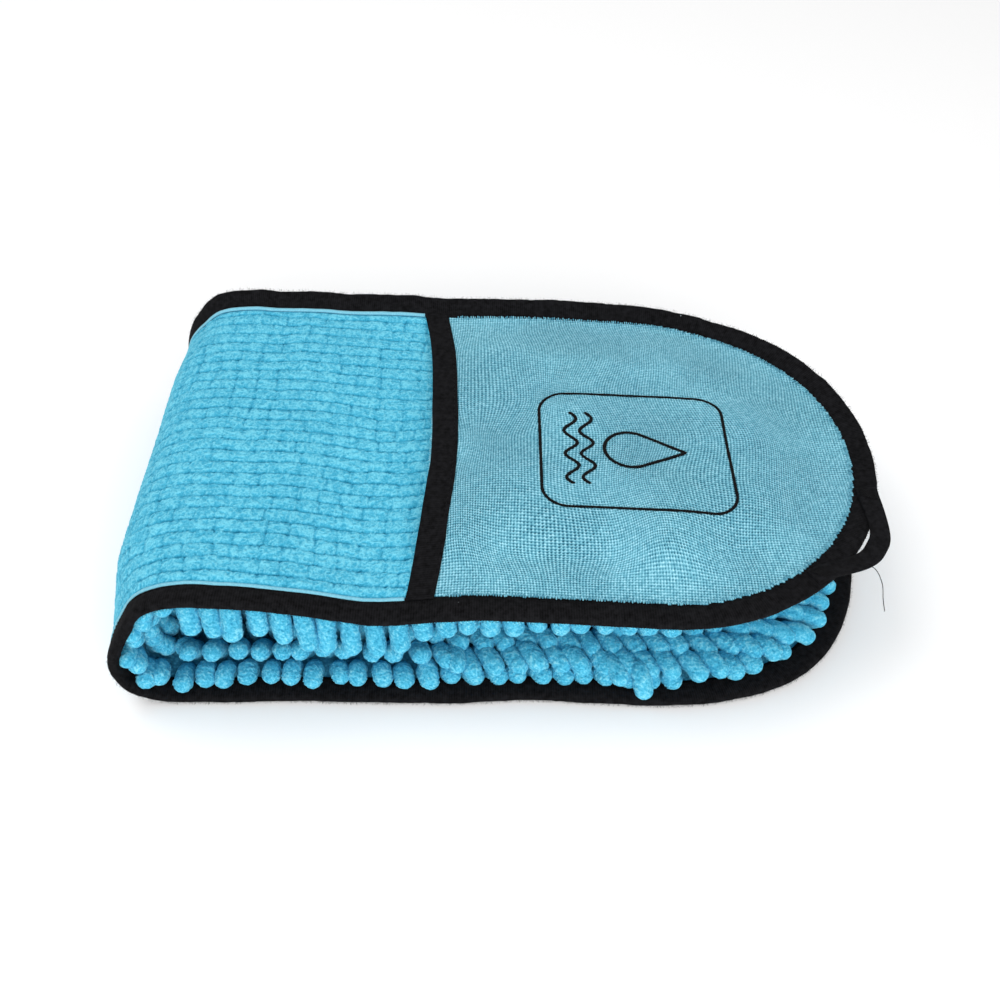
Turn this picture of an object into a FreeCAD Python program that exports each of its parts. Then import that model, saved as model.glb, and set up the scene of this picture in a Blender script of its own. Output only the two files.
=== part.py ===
import FreeCAD, Part
import Sketcher
import math
import os

# Double-ended wash mitt, folded in half with its noodle pile inward. Millimetres, +Z up.
# One long strip with round ends runs from the lower round end, round the fold at -X, to the upper
# round end at +X. The origin is the bottom centre of the folded mitt, on the surface it rests on.
# A half is a stack of cloths. Counted from its outer face inward: binding tape, pocket panel,
# back panel, chenille base, binding tape again. Depths below are measured from that outer face.

DIMENSIONS = [
    ("folded_length", 354.0, "from the fold to the tip of the round end"),
    ("mitt_width", 212.0, "across the edge binding"),
    ("folded_height", 66.0, "outer face to outer face at the rim"),
    ("tape_width", 12.0, "visible width of the folded binding tape"),
    ("tape_wall", 0.75, "thickness of one leg of the binding tape"),
    ("pocket_cloth", 1.5, "terry pocket panel"),
    ("panel_cloth", 2.0, "waffle plush back panel"),
    ("base_cloth", 1.0, "knitted base of the chenille pile"),
    ("layer_play", 0.3, "play between pieces of neighbouring bodies and beside the tape"),
    ("mouth_x", -37.0, "straight edge of the pocket panels"),
    ("pocket_puff", 8.0, "how far the upper pocket panel stands off the back panel"),
    ("palm_puff", 6.0, "how far the lower back panel stands off its pocket panel"),
    ("puff_margin", 13.0, "flat border of a puffed panel, which the tape grips"),
    ("puff_run", 30.0, "width of the slope between border and crown"),
    ("puff_lead", 50.0, "how far a puffed panel's slope begins beyond the pocket mouth"),
    ("hinge_angle", 45.0, "part of the fold taken by each of its hinge lines"),
    ("joint_gap", 0.35, "angle left free on each side of a hinge line, in degrees"),
    ("noodle_diameter", 8.8, "chenille noodle"),
    ("noodle_pitch", 10.5, "between noodles of one row"),
    ("row_pitch", 9.92, "between rows of noodles"),
    ("noodle_play", 0.6, "clear height between the two facing piles"),
    ("fold_noodle_length", 14.0, "noodles inside the fold"),
    ("thread_width", 0.6, "seam thread"),
    ("thread_height", 0.3, "seam thread above the tape"),
    ("seam_inset", 10.6, "seam thread from the rim"),
    ("frame_length", 92.0, "embroidered frame along X"),
    ("frame_width", 77.0, "embroidered frame along Y"),
    ("frame_corner", 12.0, "corner radius of the embroidered frame"),
    ("frame_x", 64.0, "centre of the embroidery"),
    ("frame_y", -9.0, "centre of the embroidery"),
    ("satin_width", 1.4, "embroidered line"),
    ("satin_height", 0.4, "embroidered line above the cloth"),
    ("drop_radius", 12.0, "round part of the embroidered drop"),
    ("drop_length", 38.0, "drop from its point to its round end"),
    ("drop_x", -2.0, "centre of the drop's round part from the middle of the frame"),
    ("wave_x", -22.0, "first water line from the middle of the frame"),
    ("wave_step", -7.0, "second water line from the first"),
    ("wave_arcs", 6, "arcs of one water line"),
    ("wave_length", 16.0, "one wave of the embroidered water line"),
    ("wave_height", 3.0, "crest of a wave above its middle"),
    ("loop_turn", -32.6, "direction of the hanging loop round the round end, in degrees"),
    ("loop_reach", 15.0, "loop beyond the rim"),
    ("loop_strap", 8.0, "width of the loop's tape"),
    ("loop_thick", 1.5, "thickness of the loop's tape"),
    ("loop_seat", 6.0, "sewn ends of the loop inside the rim"),
    ("loop_span", 22.0, "half the spread of the loop's sewn ends"),
    ("tack_length", 8.0, "bar tack"),
    ("tack_width", 2.4, "bar tack"),
]

doc = FreeCAD.newDocument("wash_mitt")
sheet = doc.addObject("Spreadsheet::Sheet", "Dims")
for row, (alias, value, meaning) in enumerate(DIMENSIONS, start=1):
    sheet.set(f"A{row}", meaning)
    sheet.set(f"B{row}", str(value))
    sheet.setAlias(f"B{row}", alias)
doc.recompute()

V = FreeCAD.Vector
parts = []

# Expressions that several pieces share.
FOLD_RADIUS = "Dims.folded_height / 2"
FOLD_X = "(Dims.folded_height - Dims.folded_length) / 2"
TIP_X = "(Dims.folded_length - Dims.mitt_width) / 2"
HALF_WIDTH = "Dims.mitt_width / 2"
TAPE_END = "Dims.tape_wall"
POCKET_END = "(Dims.tape_wall + Dims.pocket_cloth)"
PANEL_END = "(Dims.tape_wall + Dims.pocket_cloth + Dims.panel_cloth)"
BASE_END = "(Dims.tape_wall + Dims.pocket_cloth + Dims.panel_cloth + Dims.base_cloth)"
RIM = "(Dims.tape_wall * 2 + Dims.pocket_cloth + Dims.panel_cloth + Dims.base_cloth)"
INSIDE_TAPE = "(Dims.tape_width + Dims.layer_play)"
BEYOND_FOLD = f"({FOLD_X} - Dims.tape_width)"
PUFF_LEFT = "(Dims.mouth_x - Dims.puff_lead)"
PLUSH_END_UPPER = "(Dims.mouth_x - Dims.tape_wall - Dims.layer_play)"


def dim(name):
    """The number in the sheet's cell."""
    return float(sheet.get(name))


def finish(piece, label):
    """Gives a piece its name and lists it for export."""
    piece.Label = label
    parts.append(piece)
    return piece


def new_body(label):
    body = doc.addObject("PartDesign::Body", label)
    return finish(body, label)


def level(half, near, far):
    """Height at which a layer that spans two depths begins, as an expression."""
    if half == "upper":
        return f"Dims.folded_height - {far}"
    return near


def new_sketch(body, name, plane, offset="0"):
    """A sketch on one of the body's origin planes, raised by offset along the plane's normal."""
    sketch = body.newObject("Sketcher::SketchObject", name)
    found = [item for item in body.Origin.OriginFeatures if item.Role == plane]
    sketch.AttachmentSupport = [(found[0], "")]
    sketch.MapMode = "FlatFace"
    sketch.setExpression("AttachmentOffset.Base.z", offset)
    return sketch


def bind(sketch, constraint, name, expression):
    """Adds a sized constraint, names it and ties it to the sheet."""
    number = sketch.addConstraint(constraint)
    sketch.renameConstraint(number, name)
    sketch.setExpression(f"Constraints.{name}", expression)


def round_end(body, name, offset, inset, left):
    """Outline of a half: straight sides from left to the tip's centre, then a half circle."""
    sketch = new_sketch(body, name, "XY_Plane", offset)
    radius, centre, start = 90.0, 70.0, -120.0
    front = sketch.addGeometry(Part.LineSegment(V(start, -radius, 0), V(centre, -radius, 0)))
    circle = Part.Circle(V(centre, 0, 0), V(0, 0, 1), radius)
    tip = sketch.addGeometry(Part.ArcOfCircle(circle, -math.pi / 2, math.pi / 2))
    rear = sketch.addGeometry(Part.LineSegment(V(centre, radius, 0), V(start, radius, 0)))
    end = sketch.addGeometry(Part.LineSegment(V(start, radius, 0), V(start, -radius, 0)))
    for first, point, second, other in [(front, 2, tip, 1), (tip, 2, rear, 1)]:
        sketch.addConstraint(Sketcher.Constraint("Tangent", first, point, second, other))
    for first, point, second, other in [(rear, 2, end, 1), (end, 2, front, 1)]:
        sketch.addConstraint(Sketcher.Constraint("Coincident", first, point, second, other))
    for line in (front, rear):
        sketch.addConstraint(Sketcher.Constraint("Horizontal", line))
    sketch.addConstraint(Sketcher.Constraint("Vertical", end))
    sketch.addConstraint(Sketcher.Constraint("PointOnObject", tip, 3, -1))
    bind(sketch, Sketcher.Constraint("Radius", tip, radius), "radius", f"{HALF_WIDTH} - {inset}")
    bind(sketch, Sketcher.Constraint("DistanceX", -1, 1, tip, 3, centre), "centre_x", TIP_X)
    bind(sketch, Sketcher.Constraint("DistanceX", -1, 1, end, 1, start), "left_x", left)
    return sketch


def rectangle(sketch, tag, low, high):
    """A rectangle in a sketch between two corners, each a pair of expressions."""
    corners = [V(-20, -20, 0), V(-10, -20, 0), V(-10, -10, 0), V(-20, -10, 0)]
    lines = []
    for number in range(4):
        segment = Part.LineSegment(corners[number], corners[(number + 1) % 4])
        lines.append(sketch.addGeometry(segment))
    for number in range(4):
        following = lines[(number + 1) % 4]
        sketch.addConstraint(Sketcher.Constraint("Coincident", lines[number], 2, following, 1))
        kind = "Horizontal" if number % 2 == 0 else "Vertical"
        sketch.addConstraint(Sketcher.Constraint(kind, lines[number]))
    for kind, line, side, value in [
        ("DistanceX", lines[0], "x_low", low[0]),
        ("DistanceY", lines[0], "y_low", low[1]),
        ("DistanceX", lines[2], "x_high", high[0]),
        ("DistanceY", lines[2], "y_high", high[1]),
    ]:
        guess = -20.0 if line == lines[0] else -10.0
        bind(sketch, Sketcher.Constraint(kind, -1, 1, line, 1, guess), f"{tag}_{side}", value)


def pad(body, sketch, length, taper=None):
    feature = body.newObject("PartDesign::Pad", "Pad")
    feature.Profile = sketch
    feature.setExpression("Length", length)
    if taper:
        feature.setExpression("TaperAngle", taper)
    return feature


def pocket(body, sketch, length, taper=None):
    """Cuts upward from the sketch."""
    feature = body.newObject("PartDesign::Pocket", "Pocket")
    feature.Profile = sketch
    feature.Reversed = True
    feature.setExpression("Length", length)
    if taper:
        feature.setExpression("TaperAngle", taper)
    return feature


def fold_sector(body, name, sections, at_fold_centre, half=None):
    """Turns sections (y low, y high, depth near, depth far) about the fold's axis.

    A piece of a half carries half a hinge angle of the fold, from its flat part to the first hinge
    line. A piece of the fold itself lies at the fold's centre and carries a whole hinge angle.
    """
    sketch = new_sketch(body, name, "YZ_Plane", "0" if at_fold_centre else FOLD_X)
    for number, (y_low, y_high, near, far) in enumerate(sections):
        if at_fold_centre:
            z_low, z_high = f"{near} - {FOLD_RADIUS}", f"{far} - {FOLD_RADIUS}"
        elif half == "upper":
            z_low, z_high = f"Dims.folded_height - {far}", f"Dims.folded_height - {near}"
        else:
            z_low, z_high = near, far
        rectangle(sketch, f"part{number}", (y_low, z_low), (y_high, z_high))
    height = "0" if at_fold_centre else FOLD_RADIUS
    line = sketch.addGeometry(Part.LineSegment(V(-10, 15, 0), V(10, 15, 0)), True)
    sketch.addConstraint(Sketcher.Constraint("Horizontal", line))
    bind(sketch, Sketcher.Constraint("DistanceX", -1, 1, line, 1, -10.0), "axis_start", "-10")
    bind(sketch, Sketcher.Constraint("DistanceX", -1, 1, line, 2, 10.0), "axis_end", "10")
    bind(sketch, Sketcher.Constraint("DistanceY", -1, 1, line, 1, 15.0), "axis_height", height)
    feature = body.newObject("PartDesign::Revolution", "Revolution")
    feature.Profile = sketch
    feature.ReferenceAxis = (sketch, ["Axis0"])
    if at_fold_centre:
        feature.setExpression("Angle", "Dims.hinge_angle - 2 * Dims.joint_gap")
    else:
        feature.setExpression("Angle", "Dims.hinge_angle / 2 - Dims.joint_gap")
    feature.Reversed = half == "upper"
    return feature


def across(inset):
    """The two ends of a strip right across the mitt, inset from the rim."""
    return f"{inset} - {HALF_WIDTH}", f"{HALF_WIDTH} - {inset}"


def puffed_sheet(body, name, bottom, cloth, inset, left, puff, puff_left):
    """A cloth with a flat border and a raised crown, the same thickness all over."""
    pad(body, round_end(body, f"{name}_outline", bottom, inset, left), cloth)
    taper = f"-atan(Dims.puff_run / {puff})"
    crown = round_end(body, f"{name}_crown", f"{bottom} + {cloth}", "Dims.puff_margin", puff_left)
    pad(body, crown, puff, taper)
    hollow = round_end(body, f"{name}_hollow", bottom, "Dims.puff_margin", puff_left)
    pocket(body, hollow, puff, taper)


def trim_left(body, name, bottom, height, x_edge):
    """Removes everything beyond x_edge towards the fold."""
    sketch = new_sketch(body, name, "XY_Plane", bottom)
    y_low, y_high = across("0")
    rectangle(sketch, "trim", (f"-{HALF_WIDTH} * 2", y_low), (x_edge, y_high))
    pocket(body, sketch, height)


# The pocket panels. The upper one is puffed, the lower one is pressed flat by the mitt's weight.

def make_pocket_panel_upper():
    body = new_body("pocket_panel_upper")
    bottom = level("upper", TAPE_END, POCKET_END)
    puffed_sheet(body, "terry", bottom, "Dims.pocket_cloth", "Dims.tape_wall", PUFF_LEFT,
                 "Dims.pocket_puff", PUFF_LEFT)
    trim_left(body, "mouth", bottom, "Dims.pocket_cloth + Dims.pocket_puff", "Dims.mouth_x")
    return body


def make_pocket_panel_lower():
    body = new_body("pocket_panel_lower")
    bottom = level("lower", TAPE_END, POCKET_END)
    pad(body, round_end(body, "terry", bottom, "Dims.tape_wall", "Dims.mouth_x"),
        "Dims.pocket_cloth")
    return body


# The back panels, with their plush thickened where no pocket panel covers them.

def make_back_panel(half):
    body = new_body(f"back_panel_{half}")
    bottom = level(half, POCKET_END, PANEL_END)
    if half == "upper":
        pad(body, round_end(body, "cloth", bottom, "Dims.tape_wall", FOLD_X), "Dims.panel_cloth")
        plush_end = PLUSH_END_UPPER
    else:
        puffed_sheet(body, "cloth", bottom, "Dims.panel_cloth", "Dims.tape_wall", FOLD_X,
                     "Dims.palm_puff", PUFF_LEFT)
        plush_end = PUFF_LEFT
    for name, inset, near, far in [
        ("pile", "Dims.tape_wall", TAPE_END, POCKET_END),
        ("ribs", INSIDE_TAPE, "0", TAPE_END),
    ]:
        sketch = new_sketch(body, name, "XY_Plane", level(half, near, far))
        y_low, y_high = across(inset)
        rectangle(sketch, name, (FOLD_X, y_low), (plush_end, y_high))
        pad(body, sketch, f"{far} - {near}")
    fold_sector(body, "fold_cloth", [(*across("Dims.tape_wall"), TAPE_END, PANEL_END)], False, half)
    fold_sector(body, "fold_ribs", [(*across(INSIDE_TAPE), "0", TAPE_END)], False, half)
    return body


def make_chenille_base(half):
    body = new_body(f"chenille_base_{half}")
    bottom = level(half, PANEL_END, BASE_END)
    if half == "upper":
        pad(body, round_end(body, "knit", bottom, "Dims.tape_wall", FOLD_X), "Dims.base_cloth")
    else:
        puffed_sheet(body, "knit", bottom, "Dims.base_cloth", "Dims.tape_wall", FOLD_X,
                     "Dims.palm_puff", PUFF_LEFT)
    fold_sector(body, "fold_knit", [(*across("Dims.tape_wall"), PANEL_END, BASE_END)], False, half)
    return body


# The edge binding: tape folded over the rim of all the layers.

def tape_sections():
    """The folded tape's three walls, at the front and at the rear of the mitt."""
    walls = [
        ("0", "Dims.tape_width", "0", TAPE_END),
        ("0", "Dims.tape_width", BASE_END, RIM),
        ("0", "Dims.tape_wall", TAPE_END, BASE_END),
    ]
    front = [(f"{a} - {HALF_WIDTH}", f"{b} - {HALF_WIDTH}", near, far) for a, b, near, far in walls]
    rear = [(f"{HALF_WIDTH} - {b}", f"{HALF_WIDTH} - {a}", near, far) for a, b, near, far in walls]
    return front, rear


def make_edge_binding(half):
    body = new_body(f"edge_binding_{half}")
    pad(body, round_end(body, "rim", level(half, "0", RIM), "0", FOLD_X), RIM)
    inner = round_end(body, "inner_edge", level(half, "0", RIM), "Dims.tape_width", BEYOND_FOLD)
    pocket(body, inner, RIM)
    groove = round_end(body, "groove", level(half, TAPE_END, BASE_END), "Dims.tape_wall",
                       BEYOND_FOLD)
    pocket(body, groove, f"{BASE_END} - {TAPE_END}")
    for side, walls in zip(("front", "rear"), tape_sections()):
        for number, wall in enumerate(walls):
            fold_sector(body, f"fold_{side}_{number}", [wall], False, half)
    return body


def make_seam_thread(half):
    """The line of stitches near the tape's inner edge, on the side that faces up."""
    body = new_body(f"seam_thread_{half}")
    bottom = "Dims.folded_height" if half == "upper" else RIM
    inner = "(Dims.seam_inset + Dims.thread_width)"
    pad(body, round_end(body, "outer_side", bottom, "Dims.seam_inset", FOLD_X), "Dims.thread_height")
    pocket(body, round_end(body, "inner_side", bottom, inner, BEYOND_FOLD), "Dims.thread_height")
    return body


# The pocket mouth bindings: tape folded over the pocket panel's straight edge.

def make_mouth_binding(half, neighbours):
    body = doc.addObject("PartDesign::Body", f"mouth_tape_{half}")
    cloth = "(Dims.pocket_cloth + 2 * Dims.tape_wall)"
    bottom = level(half, "0", f"({POCKET_END} + Dims.tape_wall)")
    left = "(Dims.mouth_x - Dims.tape_wall)"
    right = f"({left} + Dims.tape_width)"
    if half == "upper":
        puffed_sheet(body, "band", bottom, cloth, "Dims.tape_width + Dims.layer_play", PUFF_LEFT,
                     "Dims.pocket_puff", PUFF_LEFT)
        height = f"{cloth} + Dims.pocket_puff"
        trim_left(body, "left_edge", bottom, height, left)
    else:
        outline = round_end(body, "band", bottom, "Dims.tape_width + Dims.layer_play", left)
        pad(body, outline, cloth)
        height = cloth
    sketch = new_sketch(body, "right_edge", "XY_Plane", bottom)
    y_low, y_high = across("0")
    rectangle(sketch, "trim", (right, y_low), (HALF_WIDTH + " * 2", y_high))
    pocket(body, sketch, height)
    shape = body
    for number, neighbour in enumerate(neighbours):
        cut = doc.addObject("Part::Cut", f"mouth_cut_{half}_{number}")
        cut.Base = shape
        cut.Tool = neighbour
        shape = cut
    return finish(shape, f"mouth_binding_{half}")


# The fold: three sectors between the four hinge lines.

def place_in_fold(piece, number):
    """Turns a piece made at the foot of the fold to the middle of sector 1, 2 or 3."""
    piece.setExpression("Placement.Base.x", FOLD_X)
    piece.setExpression("Placement.Base.z", FOLD_RADIUS)
    piece.Placement.Rotation = FreeCAD.Rotation(V(0, 1, 0), 0)
    turn = f"(({number} - 0.5) * Dims.hinge_angle + Dims.joint_gap)"
    piece.setExpression("Placement.Rotation.Angle", turn)


def make_fold(number):
    front, rear = tape_sections()
    pieces = {
        "back_panel": [
            [(*across("Dims.tape_wall"), TAPE_END, PANEL_END)],
            [(*across(INSIDE_TAPE), "0", TAPE_END)],
        ],
        "chenille_base": [[(*across("Dims.tape_wall"), PANEL_END, BASE_END)]],
        "front_binding": [[wall] for wall in front],
        "rear_binding": [[wall] for wall in rear],
    }
    for name, sections in pieces.items():
        body = new_body(f"{name}_fold_{number}")
        for count, section in enumerate(sections):
            fold_sector(body, f"section_{count}", section, True)
        place_in_fold(body, number)


# The noodle pile: separate round-ended tufts standing on the chenille base.

def noodle(root, tip):
    """One tuft from the centre of its flat root to the end of its round tip."""
    radius = dim("noodle_diameter") / 2
    along = tip - root
    direction = V(along).normalize()
    stem = Part.makeCylinder(radius, along.Length - radius, root, direction)
    return stem.fuse(Part.makeSphere(radius, tip - direction * radius)).removeSplitter()


def pile_depth():
    """Depth of the chenille base's pile side below a half's outer face."""
    return sum(dim(name) for name in ("tape_wall", "pocket_cloth", "panel_cloth", "base_cloth"))


def puff_height(inset, ahead):
    """Rise of the lower panels at a point, from its distances to the rim and the puff's left edge."""
    reach = min(inset - dim("puff_margin"), ahead)
    return dim("palm_puff") * min(max(reach / dim("puff_run"), 0.0), 1.0)


def pile_places():
    """Centres of the noodles of one half, row by row, every other row shifted by half a pitch."""
    radius = dim("mitt_width") / 2
    clear = dim("tape_width") + dim("noodle_diameter") / 2 + dim("layer_play")
    fold_x = (dim("folded_height") - dim("folded_length")) / 2
    tip_x = (dim("folded_length") - dim("mitt_width")) / 2
    rows = int((radius - clear) // dim("row_pitch"))
    for row in range(-rows, rows + 1):
        y = row * dim("row_pitch")
        x = fold_x + dim("noodle_diameter") / 2 + dim("layer_play")
        if row % 2:
            x += dim("noodle_pitch") / 2
        while x < tip_x + radius:
            inset = radius - (abs(y) if x < tip_x else math.hypot(x - tip_x, y))
            if inset >= clear:
                yield x, y, inset
            x += dim("noodle_pitch")


def add_feature(label, solids):
    feature = doc.addObject("Part::Feature", label)
    feature.Shape = Part.makeCompound(solids)
    feature.Placement = FreeCAD.Placement()
    return finish(feature, label)


def make_pile(half):
    middle = dim("folded_height") / 2
    stack = pile_depth()
    slope = dim("palm_puff") / dim("puff_run") * dim("noodle_diameter") / 2
    solids = []
    for x, y, inset in pile_places():
        if half == "upper":
            root = V(x, y, 2 * middle - stack)
            tip = V(x, y, middle + dim("noodle_play") / 2)
        else:
            rise = puff_height(inset, x - dim("mouth_x") + dim("puff_lead"))
            lift = slope if 0 < rise else 0
            root = V(x, y, stack + min(rise + lift, dim("palm_puff")))
            tip = V(x, y, middle - dim("noodle_play") / 2)
        solids.append(noodle(root, tip))
    add_feature(f"noodles_{half}", solids)


def make_fold_pile(number):
    """One row of noodles along the middle of a fold sector, pointing at the fold's axis."""
    inner = dim("folded_height") / 2 - pile_depth()
    radius = dim("noodle_diameter") / 2
    foot = math.sqrt(inner ** 2 - radius ** 2)
    clear = dim("tape_width") + radius + dim("layer_play")
    count = int((dim("mitt_width") / 2 - clear) // dim("noodle_pitch"))
    solids = []
    for place in range(-count, count + 1):
        y = place * dim("noodle_pitch")
        solids.append(noodle(V(0, y, -foot), V(0, y, dim("fold_noodle_length") - foot)))
    feature = add_feature(f"noodles_fold_{number}", solids)
    centre = V((dim("folded_height") - dim("folded_length")) / 2, 0, dim("folded_height") / 2)
    turn = FreeCAD.Rotation(V(0, 1, 0), number * dim("hinge_angle"))
    feature.Placement = FreeCAD.Placement(centre, turn)


# The embroidery: a rounded frame round a water drop and two water lines, satin stitched.

def satin_line(path):
    """A raised band of stitches along a flat closed path."""
    half = dim("satin_width") / 2
    outer = Part.Face(path.makeOffset2D(half, 0, False, False))
    inner = Part.Face(path.makeOffset2D(-half, 0, False, False))
    return outer.cut(inner).Faces[0].extrude(V(0, 0, dim("satin_height")))


def frame_path():
    """The embroidered frame's centre line, a rectangle with round corners."""
    length, width, corner = dim("frame_length") / 2, dim("frame_width") / 2, dim("frame_corner")
    edges = []
    for turn in range(4):
        along, beside = (length, width) if turn % 2 == 0 else (width, length)
        centre = V(along - corner, beside - corner, 0)
        middle = centre + V(corner, corner, 0) * math.sqrt(0.5)
        arc = Part.Arc(centre + V(corner, 0, 0), middle, centre + V(0, corner, 0))
        side = Part.LineSegment(V(along, corner - beside, 0), V(along, beside - corner, 0))
        for curve in (side, arc):
            edge = curve.toShape()
            edge.rotate(V(0, 0, 0), V(0, 0, 1), 90 * turn)
            edges.append(edge)
    return Part.Wire(Part.__sortEdges__(edges))


def drop_path():
    """A water drop: a circle with two tangents that meet in a point."""
    radius, reach = dim("drop_radius"), dim("drop_length") - dim("drop_radius")
    touch = math.acos(radius / reach)
    left = V(radius * math.cos(touch), radius * math.sin(touch), 0)
    right = V(left.x, -left.y, 0)
    point = V(reach, 0, 0)
    bowl = Part.Arc(left, V(-radius, 0, 0), right)
    sides = [Part.LineSegment(right, point), Part.LineSegment(point, left)]
    return Part.Wire([bowl.toShape()] + [side.toShape() for side in sides])


def wave_band(offset):
    """A water line across the frame: a row of arcs, alternately up and down."""
    half, crest, width = dim("wave_length") / 2, dim("wave_height"), dim("satin_width") / 2
    last = int(dim("wave_arcs")) // 2
    edges = []
    for side in (-1, 1):
        for number in range(-last, last):
            start = V(offset + side * width, number * half, 0)
            bump = crest if number % 2 else -crest
            middle = start + V(bump, half / 2, 0)
            edges.append(Part.Arc(start, middle, start + V(0, half, 0)).toShape())
    for number in (-last, last):
        ends = [V(offset + side * width, number * half, 0) for side in (-1, 1)]
        edges.append(Part.LineSegment(*ends).toShape())
    return Part.Face(Part.Wire(Part.__sortEdges__(edges))).extrude(V(0, 0, dim("satin_height")))


def make_embroidery():
    drop = satin_line(drop_path())
    drop.translate(V(dim("drop_x"), 0, 0))
    bands = [wave_band(dim("wave_x")), wave_band(dim("wave_x") + dim("wave_step"))]
    feature = add_feature("pocket_embroidery", [satin_line(frame_path()), drop] + bands)
    crown = dim("folded_height") - dim("tape_wall") + dim("pocket_puff")
    feature.Placement.Base = V(dim("frame_x"), dim("frame_y"), crown)


# The hanging loop: a bowed length of tape, its two ends sewn to the upper rim.

def on_rim(piece, bottom):
    """Places a piece drawn about the rim point (local +X outward) at the loop's seat."""
    turn = "Dims.loop_turn"
    piece.setExpression("Placement.Base.x", f"{TIP_X} + {HALF_WIDTH} * cos({turn} * 1deg)")
    piece.setExpression("Placement.Base.y", f"{HALF_WIDTH} * sin({turn} * 1deg)")
    piece.setExpression("Placement.Base.z", bottom)
    piece.Placement.Rotation = FreeCAD.Rotation(V(0, 0, 1), 0)
    piece.setExpression("Placement.Rotation.Angle", turn)


def bow(sketch, tag, reach, span):
    """An arc from one sewn end to the other through the loop's furthest point, closed by its chord."""
    seated, out, half = -dim("loop_seat"), dim("loop_reach"), dim("loop_span")
    foot, head = V(seated, -half, 0), V(seated, half, 0)
    arc = sketch.addGeometry(Part.Arc(foot, V(out, 0, 0), head))
    chord = sketch.addGeometry(Part.LineSegment(head, foot))
    for first, second in [(2, 1), (1, 2)]:
        sketch.addConstraint(Sketcher.Constraint("Coincident", arc, first, chord, second))
    sketch.addConstraint(Sketcher.Constraint("Vertical", chord))
    sketch.addConstraint(Sketcher.Constraint("PointOnObject", arc, 3, -1))
    seat = "-Dims.loop_seat"
    bind(sketch, Sketcher.Constraint("DistanceX", -1, 1, arc, 1, seated), f"{tag}_seat", seat)
    bind(sketch, Sketcher.Constraint("DistanceY", -1, 1, arc, 2, half), f"{tag}_span", span)
    rise = f"({reach} + Dims.loop_seat)"
    radius = f"({rise} * {rise} + ({span}) * ({span})) / (2 * {rise})"
    bind(sketch, Sketcher.Constraint("Radius", arc, half), f"{tag}_radius", radius)


def make_hanging_loop():
    strap = new_body("hanging_loop")
    outer = new_sketch(strap, "outer_edge", "XY_Plane")
    bow(outer, "outer", "Dims.loop_reach", "Dims.loop_span")
    pad(strap, outer, "Dims.loop_thick")
    inner = new_sketch(strap, "inner_edge", "XY_Plane")
    bow(inner, "inner", "(Dims.loop_reach - Dims.loop_strap)", "(Dims.loop_span - Dims.loop_strap)")
    pocket(strap, inner, "Dims.loop_thick")
    on_rim(strap, "Dims.folded_height + Dims.layer_play")
    tacks = doc.addObject("Part::Compound", "tacks")
    boxes = []
    for side in (-1, 1):
        box = doc.addObject("Part::Box", "Tack")
        box.setExpression("Length", "Dims.tack_width")
        box.setExpression("Width", "Dims.tack_length")
        box.setExpression("Height", "Dims.satin_height")
        middle = f"{side} * (Dims.loop_span - Dims.loop_strap / 2)"
        box.setExpression("Placement.Base.x", "Dims.layer_play - Dims.loop_seat")
        box.setExpression("Placement.Base.y", f"{middle} - Dims.tack_length / 2")
        boxes.append(box)
    tacks.Links = boxes
    on_rim(tacks, "Dims.folded_height + Dims.layer_play + Dims.loop_thick")
    finish(tacks, "loop_bar_tacks")


def main():
    upper_pocket = make_pocket_panel_upper()
    lower_pocket = make_pocket_panel_lower()
    panels = {half: make_back_panel(half) for half in ("upper", "lower")}
    for half in ("upper", "lower"):
        make_chenille_base(half)
    rims = {half: make_edge_binding(half) for half in ("upper", "lower")}
    for half in ("upper", "lower"):
        make_seam_thread(half)
    make_mouth_binding("upper", [upper_pocket, panels["upper"], rims["upper"]])
    make_mouth_binding("lower", [lower_pocket, panels["lower"], rims["lower"]])
    for number in (1, 2, 3):
        make_fold(number)
        make_fold_pile(number)
    for half in ("upper", "lower"):
        make_pile(half)
    make_embroidery()
    make_hanging_loop()


main()
doc.recompute()
failed = [o.Label for o in doc.Objects if "Invalid" in o.State or "Error" in o.State]
failed += [p.Label for p in parts if p.Shape.isNull() or not p.Shape.isValid()]
if failed:
    raise RuntimeError(f"these pieces failed: {failed}")
os.makedirs("parts", exist_ok=True)
for part in parts:
    part.Shape.exportStep(os.path.join("parts", part.Label + ".step"))
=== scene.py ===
import math

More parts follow.
